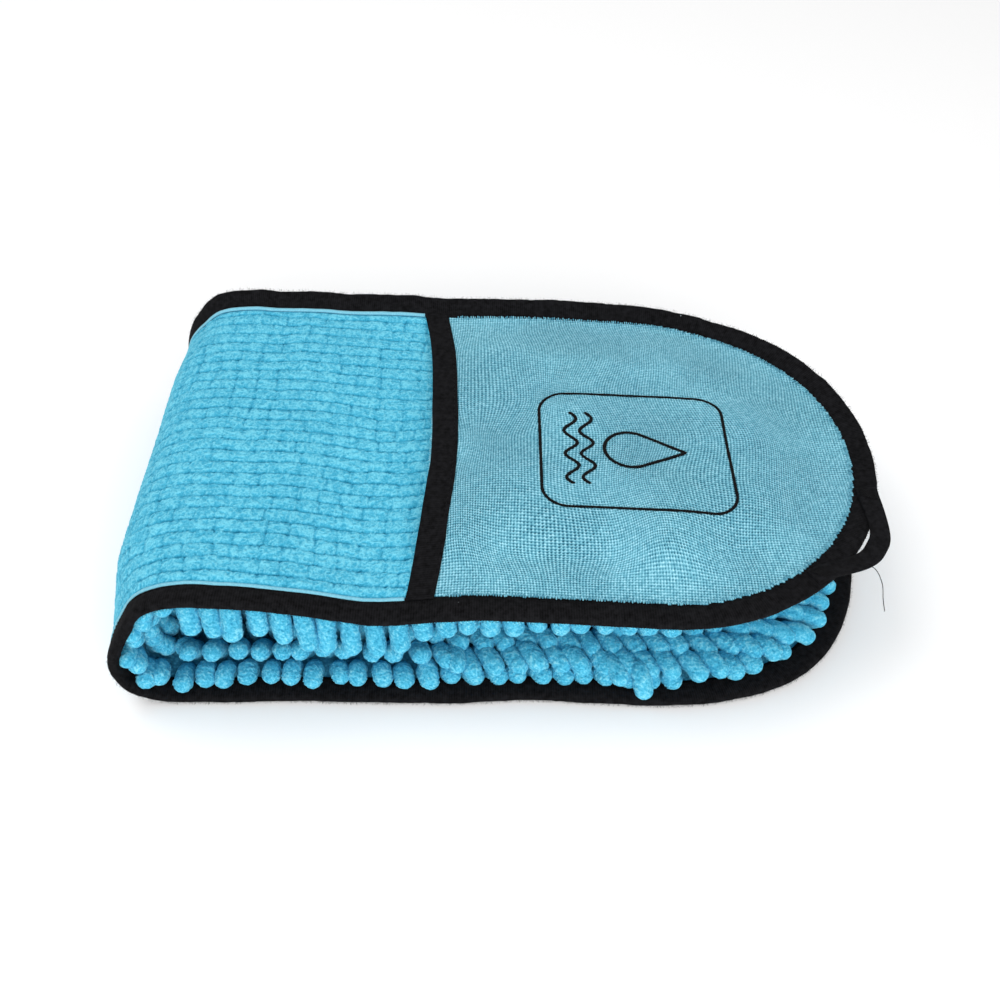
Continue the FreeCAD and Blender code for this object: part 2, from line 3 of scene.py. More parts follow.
import bpy
import numpy as np
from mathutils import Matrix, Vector


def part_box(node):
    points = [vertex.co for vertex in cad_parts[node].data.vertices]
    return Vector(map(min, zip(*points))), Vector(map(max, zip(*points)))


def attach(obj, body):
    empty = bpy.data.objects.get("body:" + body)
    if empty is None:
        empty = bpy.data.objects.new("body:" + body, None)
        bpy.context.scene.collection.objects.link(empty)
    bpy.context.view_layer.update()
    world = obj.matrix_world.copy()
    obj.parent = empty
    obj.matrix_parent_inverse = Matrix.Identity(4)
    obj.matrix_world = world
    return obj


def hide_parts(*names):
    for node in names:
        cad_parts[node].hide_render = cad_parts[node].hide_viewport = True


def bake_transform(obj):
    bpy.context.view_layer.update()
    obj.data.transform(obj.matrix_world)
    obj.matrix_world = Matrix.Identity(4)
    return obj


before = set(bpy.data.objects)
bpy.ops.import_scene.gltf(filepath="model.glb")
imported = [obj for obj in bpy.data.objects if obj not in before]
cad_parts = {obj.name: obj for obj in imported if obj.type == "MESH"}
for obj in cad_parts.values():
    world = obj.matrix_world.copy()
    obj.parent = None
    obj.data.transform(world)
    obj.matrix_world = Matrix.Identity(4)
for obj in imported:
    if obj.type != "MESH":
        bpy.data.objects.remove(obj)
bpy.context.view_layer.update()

# A double-ended wash mitt, folded in half. Lengths are millimetres in the CAD frame until
# mesh_object() turns them into metres.
#
# Every piece is drawn in strip coordinates and then placed: s runs along the outer face of the
# cloth, from the lower round end (negative) round the fold (0 to ARC) to the upper round end, y runs
# across it, and d is the depth under the outer face, positive towards the noodles.

MM = 0.001
rng = np.random.default_rng(7)


def corner(node, side):
    """One corner of a CAD node's box, in millimetres."""
    return [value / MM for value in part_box(node)[side]]


TIP_X, HALF_W, TOP = corner("edge_binding_upper", 1)
FOLD_R = TOP / 2
FOLD_X = corner("back_panel_fold_2", 0)[0] + FOLD_R
END_X = TIP_X - HALF_W
ARC = math.pi * FOLD_R
FLAT = END_X - FOLD_X
LOWER_END = FOLD_X - END_X
UPPER_END = ARC + FLAT

RIM = 4.8            # tape, outer face to inner face
TAPE_W = 11.2        # leg of the tape
BASE_D = 4.3         # noodle side of the chenille base
NOODLE_R = 4.4
NOODLE_PITCH = 10.0
ROW_PITCH = 10.05
MOUTH_X = -35.5      # middle of the mouth binding at the rim
MOUTH_BOW = 9.0      # how far its middle bows towards the round end
PUFF = 8.5           # how far the upper pocket stands off at its crown
TIP_SWAY = -8.0      # sideways lie of the round ends
TERRY_EDGE = 10.8    # from the rim to the cut edge of a terry pocket
CLOTH_EDGE = 4.0     # from the rim to the cut edge of the cloths under the tape
FRONT_Y = -65        # noodles nearer the front than this are drawn finely
FINE = (34, 28)      # stations and points around of a noodle that is seen closely
COARSE = (13, 14)    # the same for one deep in the pile


# ---- Small numeric helpers -------------------------------------------------------------------

def smooth(t):
    t = np.clip(t, 0.0, 1.0)
    return t * t * (3 - 2 * t)


LATTICE = np.random.default_rng(11).random((256, 256)) * 2 - 1


def noise(x, y, seed=0):
    """Smooth value noise in two dimensions, about -1 to 1."""
    x, y = np.asarray(x) + seed * 17.3, np.asarray(y) + seed * 31.7
    i, j = np.floor(x).astype(int), np.floor(y).astype(int)
    u, v = smooth(x - i), smooth(y - j)
    i0, j0, i1, j1 = i & 255, j & 255, (i + 1) & 255, (j + 1) & 255
    low = LATTICE[i0, j0] * (1 - u) + LATTICE[i1, j0] * u
    high = LATTICE[i0, j1] * (1 - u) + LATTICE[i1, j1] * u
    return low * (1 - v) + high * v


def unit(vectors):
    return vectors / np.linalg.norm(vectors, axis=-1, keepdims=True)


def catmull(points, per_span=24):
    """A smooth line through the points."""
    p = np.array([2 * np.array(points[0]) - np.array(points[1])] + [list(q) for q in points]
                 + [2 * np.array(points[-1]) - np.array(points[-2])], float)
    t = np.linspace(0, 1, per_span, endpoint=False)[:, None]
    spans = []
    for a, b, c, e in zip(p[:-3], p[1:-2], p[2:-1], p[3:]):
        spans.append(0.5 * (2 * b + (c - a) * t + (2 * a - 5 * b + 4 * c - e) * t ** 2
                            + (3 * b - a - 3 * c + e) * t ** 3))
    return np.vstack(spans + [p[-2:-1]])


# ---- How the folded cloth lies ---------------------------------------------------------------

# Outer face of the folded strip, seen from the front: X and Z from the floor round the fold.
FOLD_PROFILE = [(-138, 0), (-148, 0.2), (-157, 2), (-164.5, 6.5), (-170, 13.5), (-173, 22), (-174.5, 32),
                (-173.5, 42), (-170.5, 52), (-164, 61), (-155, 67), (-145, 70), (-135, 71.5), (-125, 71.5)]
UPPER_PROFILE = [(-125, 71), (-105, 69.5), (-85, 66), (-65, 62.8), (-45, 61.3), (-20, 61),
                 (20, 61), (60, 61), (120, 61.5), (177, 62), (200, 62)]


def build_spine():
    """Position and outward normal of the outer face for every s."""
    fold = catmull(FOLD_PROFILE)
    run = np.concatenate([[0], np.cumsum(np.linalg.norm(np.diff(fold, axis=0), axis=1))])
    first = FOLD_X - FOLD_PROFILE[0][0]
    last = ARC + FOLD_PROFILE[-1][0] - FOLD_X
    fold_s = first + run / run[-1] * (last - first)
    upper = catmull(UPPER_PROFILE)[1:]
    s = np.concatenate([[FOLD_X - 400], fold_s, ARC + upper[:, 0] - FOLD_X])
    x = np.concatenate([[400], fold[:, 0], upper[:, 0]])
    z = np.concatenate([[0], fold[:, 1], upper[:, 1]])
    grid = np.arange(s[0], s[-1], 0.5)
    kernel = np.hanning(25)
    kernel /= kernel.sum()
    line = []
    for values in (x, z):
        even = np.interp(grid, s, values)
        padded = np.concatenate([2 * even[0] - even[12:0:-1], even, 2 * even[-1] - even[-2:-14:-1]])
        line.append(np.convolve(padded, kernel, "valid"))
    tangent = unit(np.stack([np.gradient(line[0], grid), np.gradient(line[1], grid)], -1))
    return grid, line[0], line[1], -tangent[:, 1], tangent[:, 0]


SPINE = build_spine()


def inset(s, y):
    """Distance from the rim, in the plane of the cloth."""
    beyond = np.abs(s - ARC / 2) - (ARC / 2 + FLAT)
    return np.where(beyond > 0, HALF_W - np.hypot(np.maximum(beyond, 0), y), HALF_W - np.abs(y))


def upperness(s):
    """0 on the lower half, 1 on the upper half."""
    return smooth((s - ARC * 0.35) / (ARC * 0.5))


def swell(value, middle, width):
    return np.exp(-((value - middle) / width) ** 2)


def drape(s, y):
    """How the cloth lies off its smooth profile: lifted rear rim, dips along the front, soft waves."""
    up = upperness(s)
    x = FOLD_X + s - ARC
    edge = (1 - np.clip(inset(s, y) / 18, 0, 1)) ** 2
    rear = smooth((y / HALF_W + 1) / 2)
    tilt = edge * (rear * 6.5 + (1 - rear) * 0.8)
    sag = (1 - rear) * (-3.2 * swell(x, -60, 24) + 1.2 * swell(x, -15, 22))
    lift = rear * (-3.3 - 4.2 * swell(x, -118, 34) + 2.6 * swell(x, -52, 22) - 2.5 * smooth((x - 20) / 60))
    drawn_in = -8.5 * swell(s, ARC * 0.71, 25) * (1 - smooth((y + HALF_W) / 48))
    drawn_in = drawn_in - 3.5 * swell(s, ARC * 0.76, 16) * smooth((y - 50) / 50)
    waves = 1.0 * noise(s / 52, y / 60, 3) + 0.4 * noise(s / 23, y / 27, 5)
    low = 1.4 * np.clip(noise(s / 34, y / 60, 9) - 0.1, 0, 1) * (1 - np.clip(inset(s, y) / 25, 0, 1))
    return up * (tilt + sag + lift + waves) + drawn_in - (1 - up) * low


def place(s, y, d):
    """Points in space, in millimetres, for strip coordinates."""
    s, y, d = np.broadcast_arrays(np.asarray(s, float), np.asarray(y, float), np.asarray(d, float))
    grid, px, pz, nx, nz = SPINE
    off = drape(s, y) - d
    x = np.interp(s, grid, px)
    normal = unit(np.stack([np.interp(s, grid, nx), np.interp(s, grid, nz)], -1))
    low = 1 - upperness(s)
    sway = TIP_SWAY * smooth(x / TIP_X) - low * (3.6 + 5.6 * smooth((x - 108) / 55))
    ripple = (0.8 + 0.5 * low) * noise(s / 37, np.sign(y) * 3, 21) * np.clip(np.abs(y) / HALF_W, 0, 1)
    return np.stack([x + normal[..., 0] * off, y + sway + ripple,
                     np.interp(s, grid, pz) + normal[..., 1] * off], -1)


def off_floor(s, depth, least):
    """Depths kept at least this far under the face that lies on the floor."""
    return np.where(upperness(s) < 0.1, np.maximum(depth, least), depth)


def inward(s, y):
    """Unit direction, in space, from the outer face to the noodle side."""
    return unit(place(s, y, BASE_D + 1) - place(s, y, BASE_D))


def s_upper(x):
    return ARC + x - FOLD_X


def s_lower(x):
    return FOLD_X - x


def mouth_s(y):
    """Middle of the upper mouth binding."""
    return s_upper(MOUTH_X + MOUTH_BOW * (1 - (y / HALF_W) ** 2) + 1.0 * noise(y / 40, 0, 8))


def pocket_lift(s, y):
    """How far the upper pocket panel stands off the cloth under it."""
    w = inset(s, y)
    from_mouth = s - mouth_s(y)
    body = smooth((w - 9) / 46)
    crown = 0.62 + 0.38 * smooth(from_mouth / 70)
    dents = 1.1 * noise(s / 38, y / 31, 12) + 0.6 * noise(s / 19, y / 17, 13)
    return PUFF * body * crown + dents * smooth((w - 12) / 18)


# ---- Meshes ----------------------------------------------------------------------------------

def mesh_object(name, points, faces, material, relief=None, smooth_shading=True):
    """A mesh from points in millimetres and one or more arrays of faces."""
    faces = [np.asarray(f, np.int32) for f in faces if len(f)]
    mesh = bpy.data.meshes.new(name)
    mesh.vertices.add(len(points))
    mesh.vertices.foreach_set("co", (np.asarray(points, float) * MM).astype(np.float32).ravel())
    corners = np.concatenate([f.ravel() for f in faces])
    sizes = np.concatenate([np.full(len(f), f.shape[1]) for f in faces])
    mesh.loops.add(len(corners))
    mesh.loops.foreach_set("vertex_index", corners)
    mesh.polygons.add(len(sizes))
    mesh.polygons.foreach_set("loop_start", np.concatenate([[0], np.cumsum(sizes)[:-1]]))
    mesh.polygons.foreach_set("loop_total", sizes)
    mesh.polygons.foreach_set("use_smooth", np.full(len(sizes), smooth_shading))
    if relief is not None:
        layer = mesh.attributes.new("relief", "FLOAT", "POINT")
        layer.data.foreach_set("value", np.asarray(relief, np.float32).ravel())
    mesh.update(calc_edges=True)
    mesh.validate()
    mesh.materials.append(material)
    thing = bpy.data.objects.new(name, mesh)
    bpy.context.scene.collection.objects.link(thing)
    return thing


def grid_faces(rows, columns, closed=False, start=0):
    """Quads between neighbouring rows of points; closed joins each row's ends."""
    last = columns if closed else columns - 1
    i, j = np.meshgrid(np.arange(rows - 1), np.arange(last), indexing="ij")
    k = (j + 1) % columns
    quads = np.stack([i * columns + j, i * columns + k, (i + 1) * columns + k, (i + 1) * columns + j], -1)
    return quads.reshape(-1, 4) + start


def ring_sweep(name, rings, material, relief=None, capped=True):
    """A closed tube through rings of points (stations, around, 3)."""
    stations, around = rings.shape[:2]
    faces = [grid_faces(stations, around, closed=True)]
    if capped:
        first = np.arange(around)[None, :]
        faces += [first[:, ::-1], first + (stations - 1) * around]
    return mesh_object(name, rings.reshape(-1, 3), faces, material, relief)


class Batch:
    """Many small closed tubes gathered in one mesh."""

    def __init__(self):
        self.points, self.quads, self.fans, self.relief, self.count = [], [], [], [], 0

    def add(self, centres, radii, around, reliefs=None, jitter=None, flat=1.0, ups=None):
        """Tubes along centres (tubes, stations, 3) with radii (tubes, stations), closed by fans."""
        tubes, stations = centres.shape[:2]
        along = unit(np.gradient(centres, axis=1))
        if ups is None:
            seed = np.where(np.abs(along[:, :1, 2:3]) < 0.8, [[[0, 0, 1.0]]], [[[1.0, 0, 0]]])
            ups = np.broadcast_to(seed, along.shape).copy()
            side = unit(np.cross(along[:, 0], ups[:, 0]))
            for k in range(stations):
                side = unit(side - np.sum(side * along[:, k], -1, keepdims=True) * along[:, k])
                ups[:, k] = np.cross(side, along[:, k])
        sides = unit(np.cross(along, ups))
        ups = np.cross(sides, along)
        angle = np.arange(around) / around * 2 * math.pi
        reach = radii[:, :, None] * (1 if jitter is None else 1 + jitter)
        ring = (centres[:, :, None] + (reach * np.cos(angle))[..., None] * sides[:, :, None]
                + (reach * np.sin(angle) * flat)[..., None] * ups[:, :, None])
        ends = np.stack([centres[:, 0] - along[:, 0] * radii[:, :1] * 0.35,
                         centres[:, -1] + along[:, -1] * radii[:, -1:] * 0.35], 1)
        per = stations * around + 2
        points = np.concatenate([ring.reshape(tubes, -1, 3), ends], 1)
        quads = grid_faces(stations, around, closed=True)
        j = np.arange(around)
        k = (j + 1) % around
        fans = np.concatenate([np.stack([np.full(around, per - 2), k, j], -1),
                               np.stack([np.full(around, per - 1), j + (stations - 1) * around,
                                         k + (stations - 1) * around], -1)])
        shift = (np.arange(tubes) * per)[:, None, None] + self.count
        self.points.append(points.reshape(-1, 3))
        self.quads.append((quads[None] + shift).reshape(-1, 4))
        self.fans.append((fans[None] + shift).reshape(-1, 3))
        if reliefs is None:
            reliefs = np.full((tubes, stations, around), 0.5)
        tail = reliefs[:, [0, -1]].mean(-1)
        self.relief.append(np.concatenate([reliefs.reshape(tubes, -1), tail], 1).ravel())
        self.count += tubes * per

    def build(self, name, material):
        return mesh_object(name, np.vstack(self.points), [np.vstack(self.quads), np.vstack(self.fans)],
                           material, np.concatenate(self.relief))


# ---- Materials -------------------------------------------------------------------------------

class Nodes:
    """A node-based material, written as a few short calls."""

    def __init__(self, name, roughness, sheen=0.0, sheen_tint=(1, 1, 1), sheen_roughness=0.5):
        self.material = bpy.data.materials.new(name)
        self.material.use_nodes = True
        self.tree = self.material.node_tree
        self.shader = self.tree.nodes["Principled BSDF"]
        self.shader.inputs["Roughness"].default_value = roughness
        self.shader.inputs["Sheen Weight"].default_value = sheen
        self.shader.inputs["Sheen Roughness"].default_value = sheen_roughness
        self.shader.inputs["Sheen Tint"].default_value = (*sheen_tint, 1)
        self.shader.inputs["Specular IOR Level"].default_value = 0.2
        self.place = self.node("ShaderNodeTexCoord").outputs["Object"]

    def node(self, kind, **settings):
        made = self.tree.nodes.new(kind)
        for key, value in settings.items():
            setattr(made, key, value)
        return made

    def link(self, out, into):
        self.tree.links.new(out, into)

    def noise(self, scale, detail=2.0, rough=0.5):
        made = self.node("ShaderNodeTexNoise")
        made.inputs["Scale"].default_value = scale
        made.inputs["Detail"].default_value = detail
        made.inputs["Roughness"].default_value = rough
        self.link(self.place, made.inputs["Vector"])
        return made.outputs["Fac"]

    def voronoi(self, scale, feature="F1"):
        made = self.node("ShaderNodeTexVoronoi", feature=feature)
        made.inputs["Scale"].default_value = scale
        self.link(self.place, made.inputs["Vector"])
        return made.outputs["Distance"]

    def attribute(self, name):
        return self.node("ShaderNodeAttribute", attribute_name=name).outputs["Fac"]

    def ramp(self, factor, stops):
        made = self.node("ShaderNodeValToRGB")
        made.color_ramp.elements[0].position = stops[0][0]
        made.color_ramp.elements[0].color = (*stops[0][1], 1)
        made.color_ramp.elements[1].position = stops[-1][0]
        made.color_ramp.elements[1].color = (*stops[-1][1], 1)
        for position, colour in stops[1:-1]:
            made.color_ramp.elements.new(position).color = (*colour, 1)
        self.link(factor, made.inputs["Fac"])
        return made.outputs["Color"]

    def math(self, kind, a, b):
        made = self.node("ShaderNodeMath", operation=kind)
        for socket, value in zip(made.inputs, (a, b)):
            if isinstance(value, (int, float)):
                socket.default_value = value
            else:
                self.link(value, socket)
        return made.outputs["Value"]

    def mix(self, kind, factor, a, b):
        made = self.node("ShaderNodeMix", data_type="RGBA", blend_type=kind)
        for socket, value in ((made.inputs[0], factor), (made.inputs[6], a), (made.inputs[7], b)):
            if isinstance(value, (int, float)):
                socket.default_value = value
            elif isinstance(value, tuple):
                socket.default_value = (*value, 1)
            else:
                self.link(value, socket)
        return made.outputs[2]

    def finish(self, colour, height, strength, distance):
        bump = self.node("ShaderNodeBump")
        bump.inputs["Strength"].default_value = strength
        bump.inputs["Distance"].default_value = distance
        self.link(height, bump.inputs["Height"])
        self.link(bump.outputs["Normal"], self.shader.inputs["Normal"])
        self.link(colour, self.shader.inputs["Base Color"])
        return self.material


def plush_material(name, deep, middle, light):
    """Soft cut pile: painted shade darkens the colour between the tufts and a painted highlight pales their
    tips, with a velvety edge.
    """
    m = Nodes(name, 0.95, sheen=0.10, sheen_tint=(0.62, 0.88, 1.0), sheen_roughness=0.45)
    fuzz = m.noise(980, 3, 0.7)
    level = m.math("ADD", m.attribute("relief"), m.math("MULTIPLY", m.math("SUBTRACT", fuzz, 0.5), 1.5))
    # The ramp turns the relief attribute into painted shade in the hollows and a painted highlight on the
    # tips.
    colour = m.ramp(level, [(0.0, deep), (0.55, middle), (1.0, light)])
    worn = m.ramp(m.noise(28, 3), [(0.35, (0.93, 0.96, 0.97)), (0.65, (1.0, 1.0, 1.0))])
    colour = m.mix("MULTIPLY", 1.0, colour, worn)
    return m.finish(colour, fuzz, 1.0, 0.0009)


def terry_material():
    m = Nodes("terry_loops", 0.95, sheen=0.08, sheen_tint=(0.75, 0.93, 1.0))
    fuzz = m.noise(2300, 3, 0.7)
    level = m.math("ADD", m.attribute("relief"), m.math("MULTIPLY", m.math("SUBTRACT", fuzz, 0.5), 0.5))
    # Painted shade and highlight: the ramp darkens the pits between the loops and pales the loops' tops,
    # following the relief attribute.
    colour = m.ramp(level, [(0.10, (0.003, 0.05, 0.08)), (0.42, (0.045, 0.22, 0.32)),
                            (0.71, (0.19, 0.52, 0.64)), (0.93, (0.44, 0.79, 0.90))])
    worn = m.ramp(m.noise(22, 3), [(0.3, (0.92, 0.93, 0.95)), (0.7, (1.0, 1.0, 1.0))])
    colour = m.mix("MULTIPLY", 1.0, colour, worn)
    return m.finish(colour, fuzz, 0.4, 0.0005)


def tape_material():
    """Black woven binding: fine cross ribs are in the mesh, lint and weave are here."""
    m = Nodes("binding_tape", 0.85, sheen=0.012, sheen_tint=(0.7, 0.7, 0.75), sheen_roughness=0.4)
    weave = m.noise(2600, 2, 0.6)
    worn = m.math("MULTIPLY", m.math("SUBTRACT", m.noise(420, 3, 0.6), 0.5), 1.6)
    # The relief attribute pales the tops of the cross ribs and darkens the valleys between them: painted
    # shade.
    level = m.math("ADD", m.math("MULTIPLY", m.attribute("relief"), 0.6), m.math("MULTIPLY", weave, 0.5))
    colour = m.ramp(m.math("ADD", level, worn),
                    [(0.2, (0.0010, 0.0010, 0.0012)), (0.95, (0.0105, 0.0105, 0.0120))])
    lint = m.ramp(m.voronoi(95), [(0.030, (1, 1, 1)), (0.045, (0, 0, 0))])
    sparse = m.ramp(m.noise(60, 1), [(0.60, (0, 0, 0)), (0.64, (1, 1, 1))])
    speck = m.mix("MULTIPLY", 1.0, lint, sparse)
    colour = m.mix("MIX", speck, colour, (0.32, 0.36, 0.38))
    m.shader.inputs["Specular IOR Level"].default_value = 0.06
    return m.finish(colour, weave, 0.35, 0.0003)


def thread_material():
    m = Nodes("sewing_thread", 0.7, sheen=0.02)
    m.shader.inputs["Specular IOR Level"].default_value = 0.05
    twist = m.noise(3500, 1)
    colour = m.ramp(twist, [(0.3, (0.0020, 0.0020, 0.0024)), (0.75, (0.009, 0.009, 0.010))])
    return m.finish(colour, twist, 0.4, 0.0002)


def selvage_material():
    m = Nodes("selvage", 0.85, sheen=0.2, sheen_tint=(0.8, 0.95, 1.0))
    weave = m.noise(1800, 2)
    colour = m.ramp(weave, [(0.3, (0.13, 0.44, 0.58)), (0.7, (0.24, 0.58, 0.71))])
    return m.finish(colour, weave, 0.3, 0.0003)


def knit_material():
    m = Nodes("knitted_base", 0.9, sheen=0.2, sheen_tint=(0.7, 0.9, 1.0))
    knit = m.voronoi(620)
    colour = m.ramp(knit, [(0.1, (0.07, 0.38, 0.56)), (0.6, (0.02, 0.20, 0.33))])
    return m.finish(colour, knit, 0.6, 0.0006)


WAFFLE = plush_material("waffle_plush", (0.008, 0.22, 0.37), (0.056, 0.445, 0.66), (0.19, 0.69, 0.87))
CHENILLE = plush_material("chenille", (0.006, 0.22, 0.42), (0.080, 0.53, 0.77), (0.32, 0.82, 0.95))
TERRY = terry_material()
TAPE = tape_material()
THREAD = thread_material()
SELVAGE = selvage_material()
KNIT = knit_material()


# ---- Riding, and the strip in four pieces ----------------------------------------------------

# The strip is cut in four at the middle of each rigid sector of the fold, so that each piece holds
# one hinge.
SPLITS = [ARC / 4, ARC / 2, 3 * ARC / 4]
REGIONS = [(-1e3, SPLITS[0]), (SPLITS[0], SPLITS[1]), (SPLITS[1], SPLITS[2]), (SPLITS[2], 1e3)]
REGION_NAMES = ["lower", "fold_low", "fold_high", "upper"]
BEND_MARGIN = ARC / 4 * 0.13


def bend(piece, region):
    """Bakes a piece's placement into its mesh. It works out the points on each side of the hinge in its
    region, but does not use them.
    """
    low = place(ARC / 4 * region + BEND_MARGIN, 0, 2.5) * MM
    high = place(ARC / 4 * (region + 1) - BEND_MARGIN, 0, 2.5) * MM
    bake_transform(piece)
    return piece


def ride(piece, body):
    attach(piece, body)
    return piece


# ---- Waffle back panel -----------------------------------------------------------------------

RIB = 7.4
NUB = 10.4


def waffle_relief(s, y):
    """Height of the plush, 0 in the grooves to 1 on the nubs."""
    yy = (y + 2.0 * noise(s / 34, y / 45, 31) + 0.7 * noise(s / 11, y / 16, 32)
          + 0.25 * noise(s / 4, y / 4, 36))
    rib = np.floor(yy / RIB)
    across = np.abs(np.sin(math.pi * yy / RIB))
    ss = (s + 1.9 * noise(s / 8, rib * 3.1, 33) + 3.2 * noise(rib * 7.7, 0, 38)
          + 2.0 * noise(s / 40, y / 30, 39))
    presence = np.clip(0.66 + 0.30 * noise(s / 26, y / 23, 34) + 0.45 * noise(s / 7, rib * 9.1, 40), 0.2, 1.0)
    cut = np.clip(0.70 + 0.8 * noise(s / 5, rib * 5.3, 37), 0.25, 1.0)
    along = np.abs(np.sin(math.pi * ss / NUB))
    groove = np.exp(-(across / 0.19) ** 2) * cut
    notch = np.exp(-(along / 0.13) ** 2) * presence
    pit = np.exp(-(across / 0.22) ** 2 - (along / 0.17) ** 2)
    low = 0.15 * (1 - across) + 0.06 * (1 - along) + 0.58 * groove + 0.36 * notch + 0.50 * pit
    return np.clip(1 - low, 0, 1)


def plush_fuzz(s, y):
    """Curly pile, about -1 to 1, with tufts a little over a millimetre apart."""
    bend_s, bend_y = 0.7 * noise(s / 1.9, y / 1.9, 45), 0.7 * noise(s / 1.9, y / 1.9, 46)
    curls = 0.8 - 3.4 * np.abs(noise((s + bend_s) / 1.7, (y + bend_y) / 1.5, 35))
    return np.clip(0.75 * curls + 0.35 * rng.uniform(-1, 1, np.shape(s)), -1, 1)


def to_mouth(S, Y, s_from, s_to):
    """Stretches the upper panel's grid so that it ends along the bowed mouth."""
    return S + (mouth_s(Y) - 3 - s_to) * smooth((S - s_from) / (s_to - s_from))


def waffle_piece(region, s_from, s_to):
    step = 0.55
    edge = HALF_W - TAPE_W + 1.8
    s = np.arange(s_from, s_to + step / 2, (s_to - s_from) / round((s_to - s_from) / step))
    y = np.linspace(-edge, edge, int(2 * edge / step))
    S, Y = np.meshgrid(s, y, indexing="ij")
    if region == 3:
        S = to_mouth(S, Y, s_from, s_to)
    relief = waffle_relief(S, Y)
    fuzz = plush_fuzz(S, Y)
    border = smooth((inset(S, Y) - TAPE_W + 0.2) / 4.0)
    height = -0.9 + (1.75 * relief + 0.30 * fuzz) * border
    on_floor = 1 - upperness(S)
    top = place(S, Y, np.maximum(-height, 0.15 - 3 * (1 - on_floor)) + 0.9 * on_floor)
    under_y = np.linspace(edge, -edge, 6)
    US, UY = np.meshgrid(s, under_y, indexing="ij")
    if region == 3:
        US = to_mouth(US, UY, s_from, s_to)
    under = place(US, UY, 3.6)
    rings = np.concatenate([top, under], 1)
    # Painted shade: the colour darkens into the grooves, notches and pits and towards the tape's edge, and a
    # painted highlight pales the nubs and tuft tops.
    shade = np.concatenate([(relief * 0.70 + 0.15 + 0.24 * fuzz) * (0.6 + 0.4 * border),
                            np.full(US.shape, 0.4)], 1)
    piece = ring_sweep(f"waffle_panel_{REGION_NAMES[region]}", rings, WAFFLE, shade)
    return bend(piece, region)


def make_waffle():
    low_mouth = s_lower(MOUTH_X + MOUTH_BOW / 2 + 3)
    ends = [low_mouth, *SPLITS, s_upper(MOUTH_X)]
    for region in range(4):
        piece = waffle_piece(region, ends[region], ends[region + 1])
        if region < 3:
            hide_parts(f"back_panel_fold_{region + 1}")


# ---- Cloths with round ends ------------------------------------------------------------------

def wander(s, y):
    """Lets the rows of loops drift away from straight lines inside the rim."""
    free = smooth((inset(s, y) - 12) / 26) * smooth((np.abs(s - ARC / 2) - ARC / 2 - 110) / 25)
    return s + 5.5 * noise(s / 36, y / 31, 43) * free, y + 5.5 * noise(s / 33, y / 38, 44) * free


def fine_quads(index, i, j, fine):
    """The small quads that fill the cells i, j of the coarse grid."""
    quads = []
    for a in range(fine):
        for b in range(fine):
            u, v = i * fine + a, j * fine + b
            quads.append(np.stack([index[u, v], index[u + 1, v], index[u + 1, v + 1], index[u, v + 1]], -1))
    return np.vstack(quads)


def side_walls(mask, index, i, j, fine, remap, under):
    """Faces that join the fine top to the coarse underside round the cut edge."""
    walls = []
    padded = np.pad(mask, 1)
    for di, dj, start, stride in [(-1, 0, (0, 0), (0, 1)), (1, 0, (fine, fine), (0, -1)),
                                  (0, -1, (fine, 0), (-1, 0)), (0, 1, (0, fine), (1, 0))]:
        open_side = ~padded[i + 1 + di, j + 1 + dj]
        u, v = i[open_side] * fine + start[0], j[open_side] * fine + start[1]
        line = [index[u + stride[0] * k, v + stride[1] * k] for k in range(fine + 1)]
        walls.append(np.stack([remap[q] for q in line] + [under[line[-1]], under[line[0]]], -1))
    return np.vstack(walls)


def round_cloth(name, material, s_near, s_far, step, top_depth, bottom_depth, relief_at, from_rim,
                fine=2):
    """A closed sheet over a round end, from s_near to the tip. The top has fine times the bottom's
    resolution. Depths are functions of s and y, and so is the relief."""
    direction = 1 if s_far > s_near else -1
    cells_s = int(abs(s_far - s_near) / step)
    cells_y = int(2 * (HALF_W - from_rim) / step)
    cells_y -= cells_y % 2
    y0 = -cells_y * step / 2
    centre_s = s_near + direction * (np.arange(cells_s) + 0.5) * step
    centre_y = y0 + (np.arange(cells_y) + 0.5) * step
    CS, CY = np.meshgrid(centre_s, centre_y, indexing="ij")
    mask = inset(CS, CY) > from_rim
    fs = s_near + direction * np.arange(cells_s * fine + 1) * step / fine
    fy = y0 + np.arange(cells_y * fine + 1) * step / fine
    FS, FY = np.meshgrid(fs, fy, indexing="ij")
    i, j = np.nonzero(mask)
    width = cells_y * fine + 1
    index = np.arange(FS.size).reshape(FS.shape)
    top_quads = fine_quads(index, i, j, fine)
    used = np.unique(top_quads)
    remap = np.full(FS.size, -1)
    remap[used] = np.arange(len(used))
    S, Y = wander(FS.ravel()[used], FY.ravel()[used])
    even = (np.indices(FS.shape) % fine).sum(0).ravel()[used]
    relief, height = relief_at(S, Y, used // width, used % width)
    top = place(S, Y, top_depth(S, Y) - height)
    coarse = used[even == 0]
    under = np.full(FS.size, -1)
    under[coarse] = len(used) + np.arange(len(coarse))
    CSs, CYs = wander(FS.ravel()[coarse], FY.ravel()[coarse])
    bottom = place(CSs, CYs, bottom_depth(CSs, CYs))
    a, b, c, e = (index[i * fine, j * fine], index[i * fine + fine, j * fine],
                  index[i * fine + fine, j * fine + fine], index[i * fine, j * fine + fine])
    bottom_quads = np.stack([under[a], under[e], under[c], under[b]], -1)
    faces = [remap[top_quads], bottom_quads, side_walls(mask, index, i, j, fine, remap, under)]
    if direction < 0:
        faces = [f[:, ::-1] for f in faces]
    shade = np.concatenate([relief, np.full(len(coarse), 0.45)])
    return mesh_object(name, np.vstack([top, bottom]), faces, material, shade)


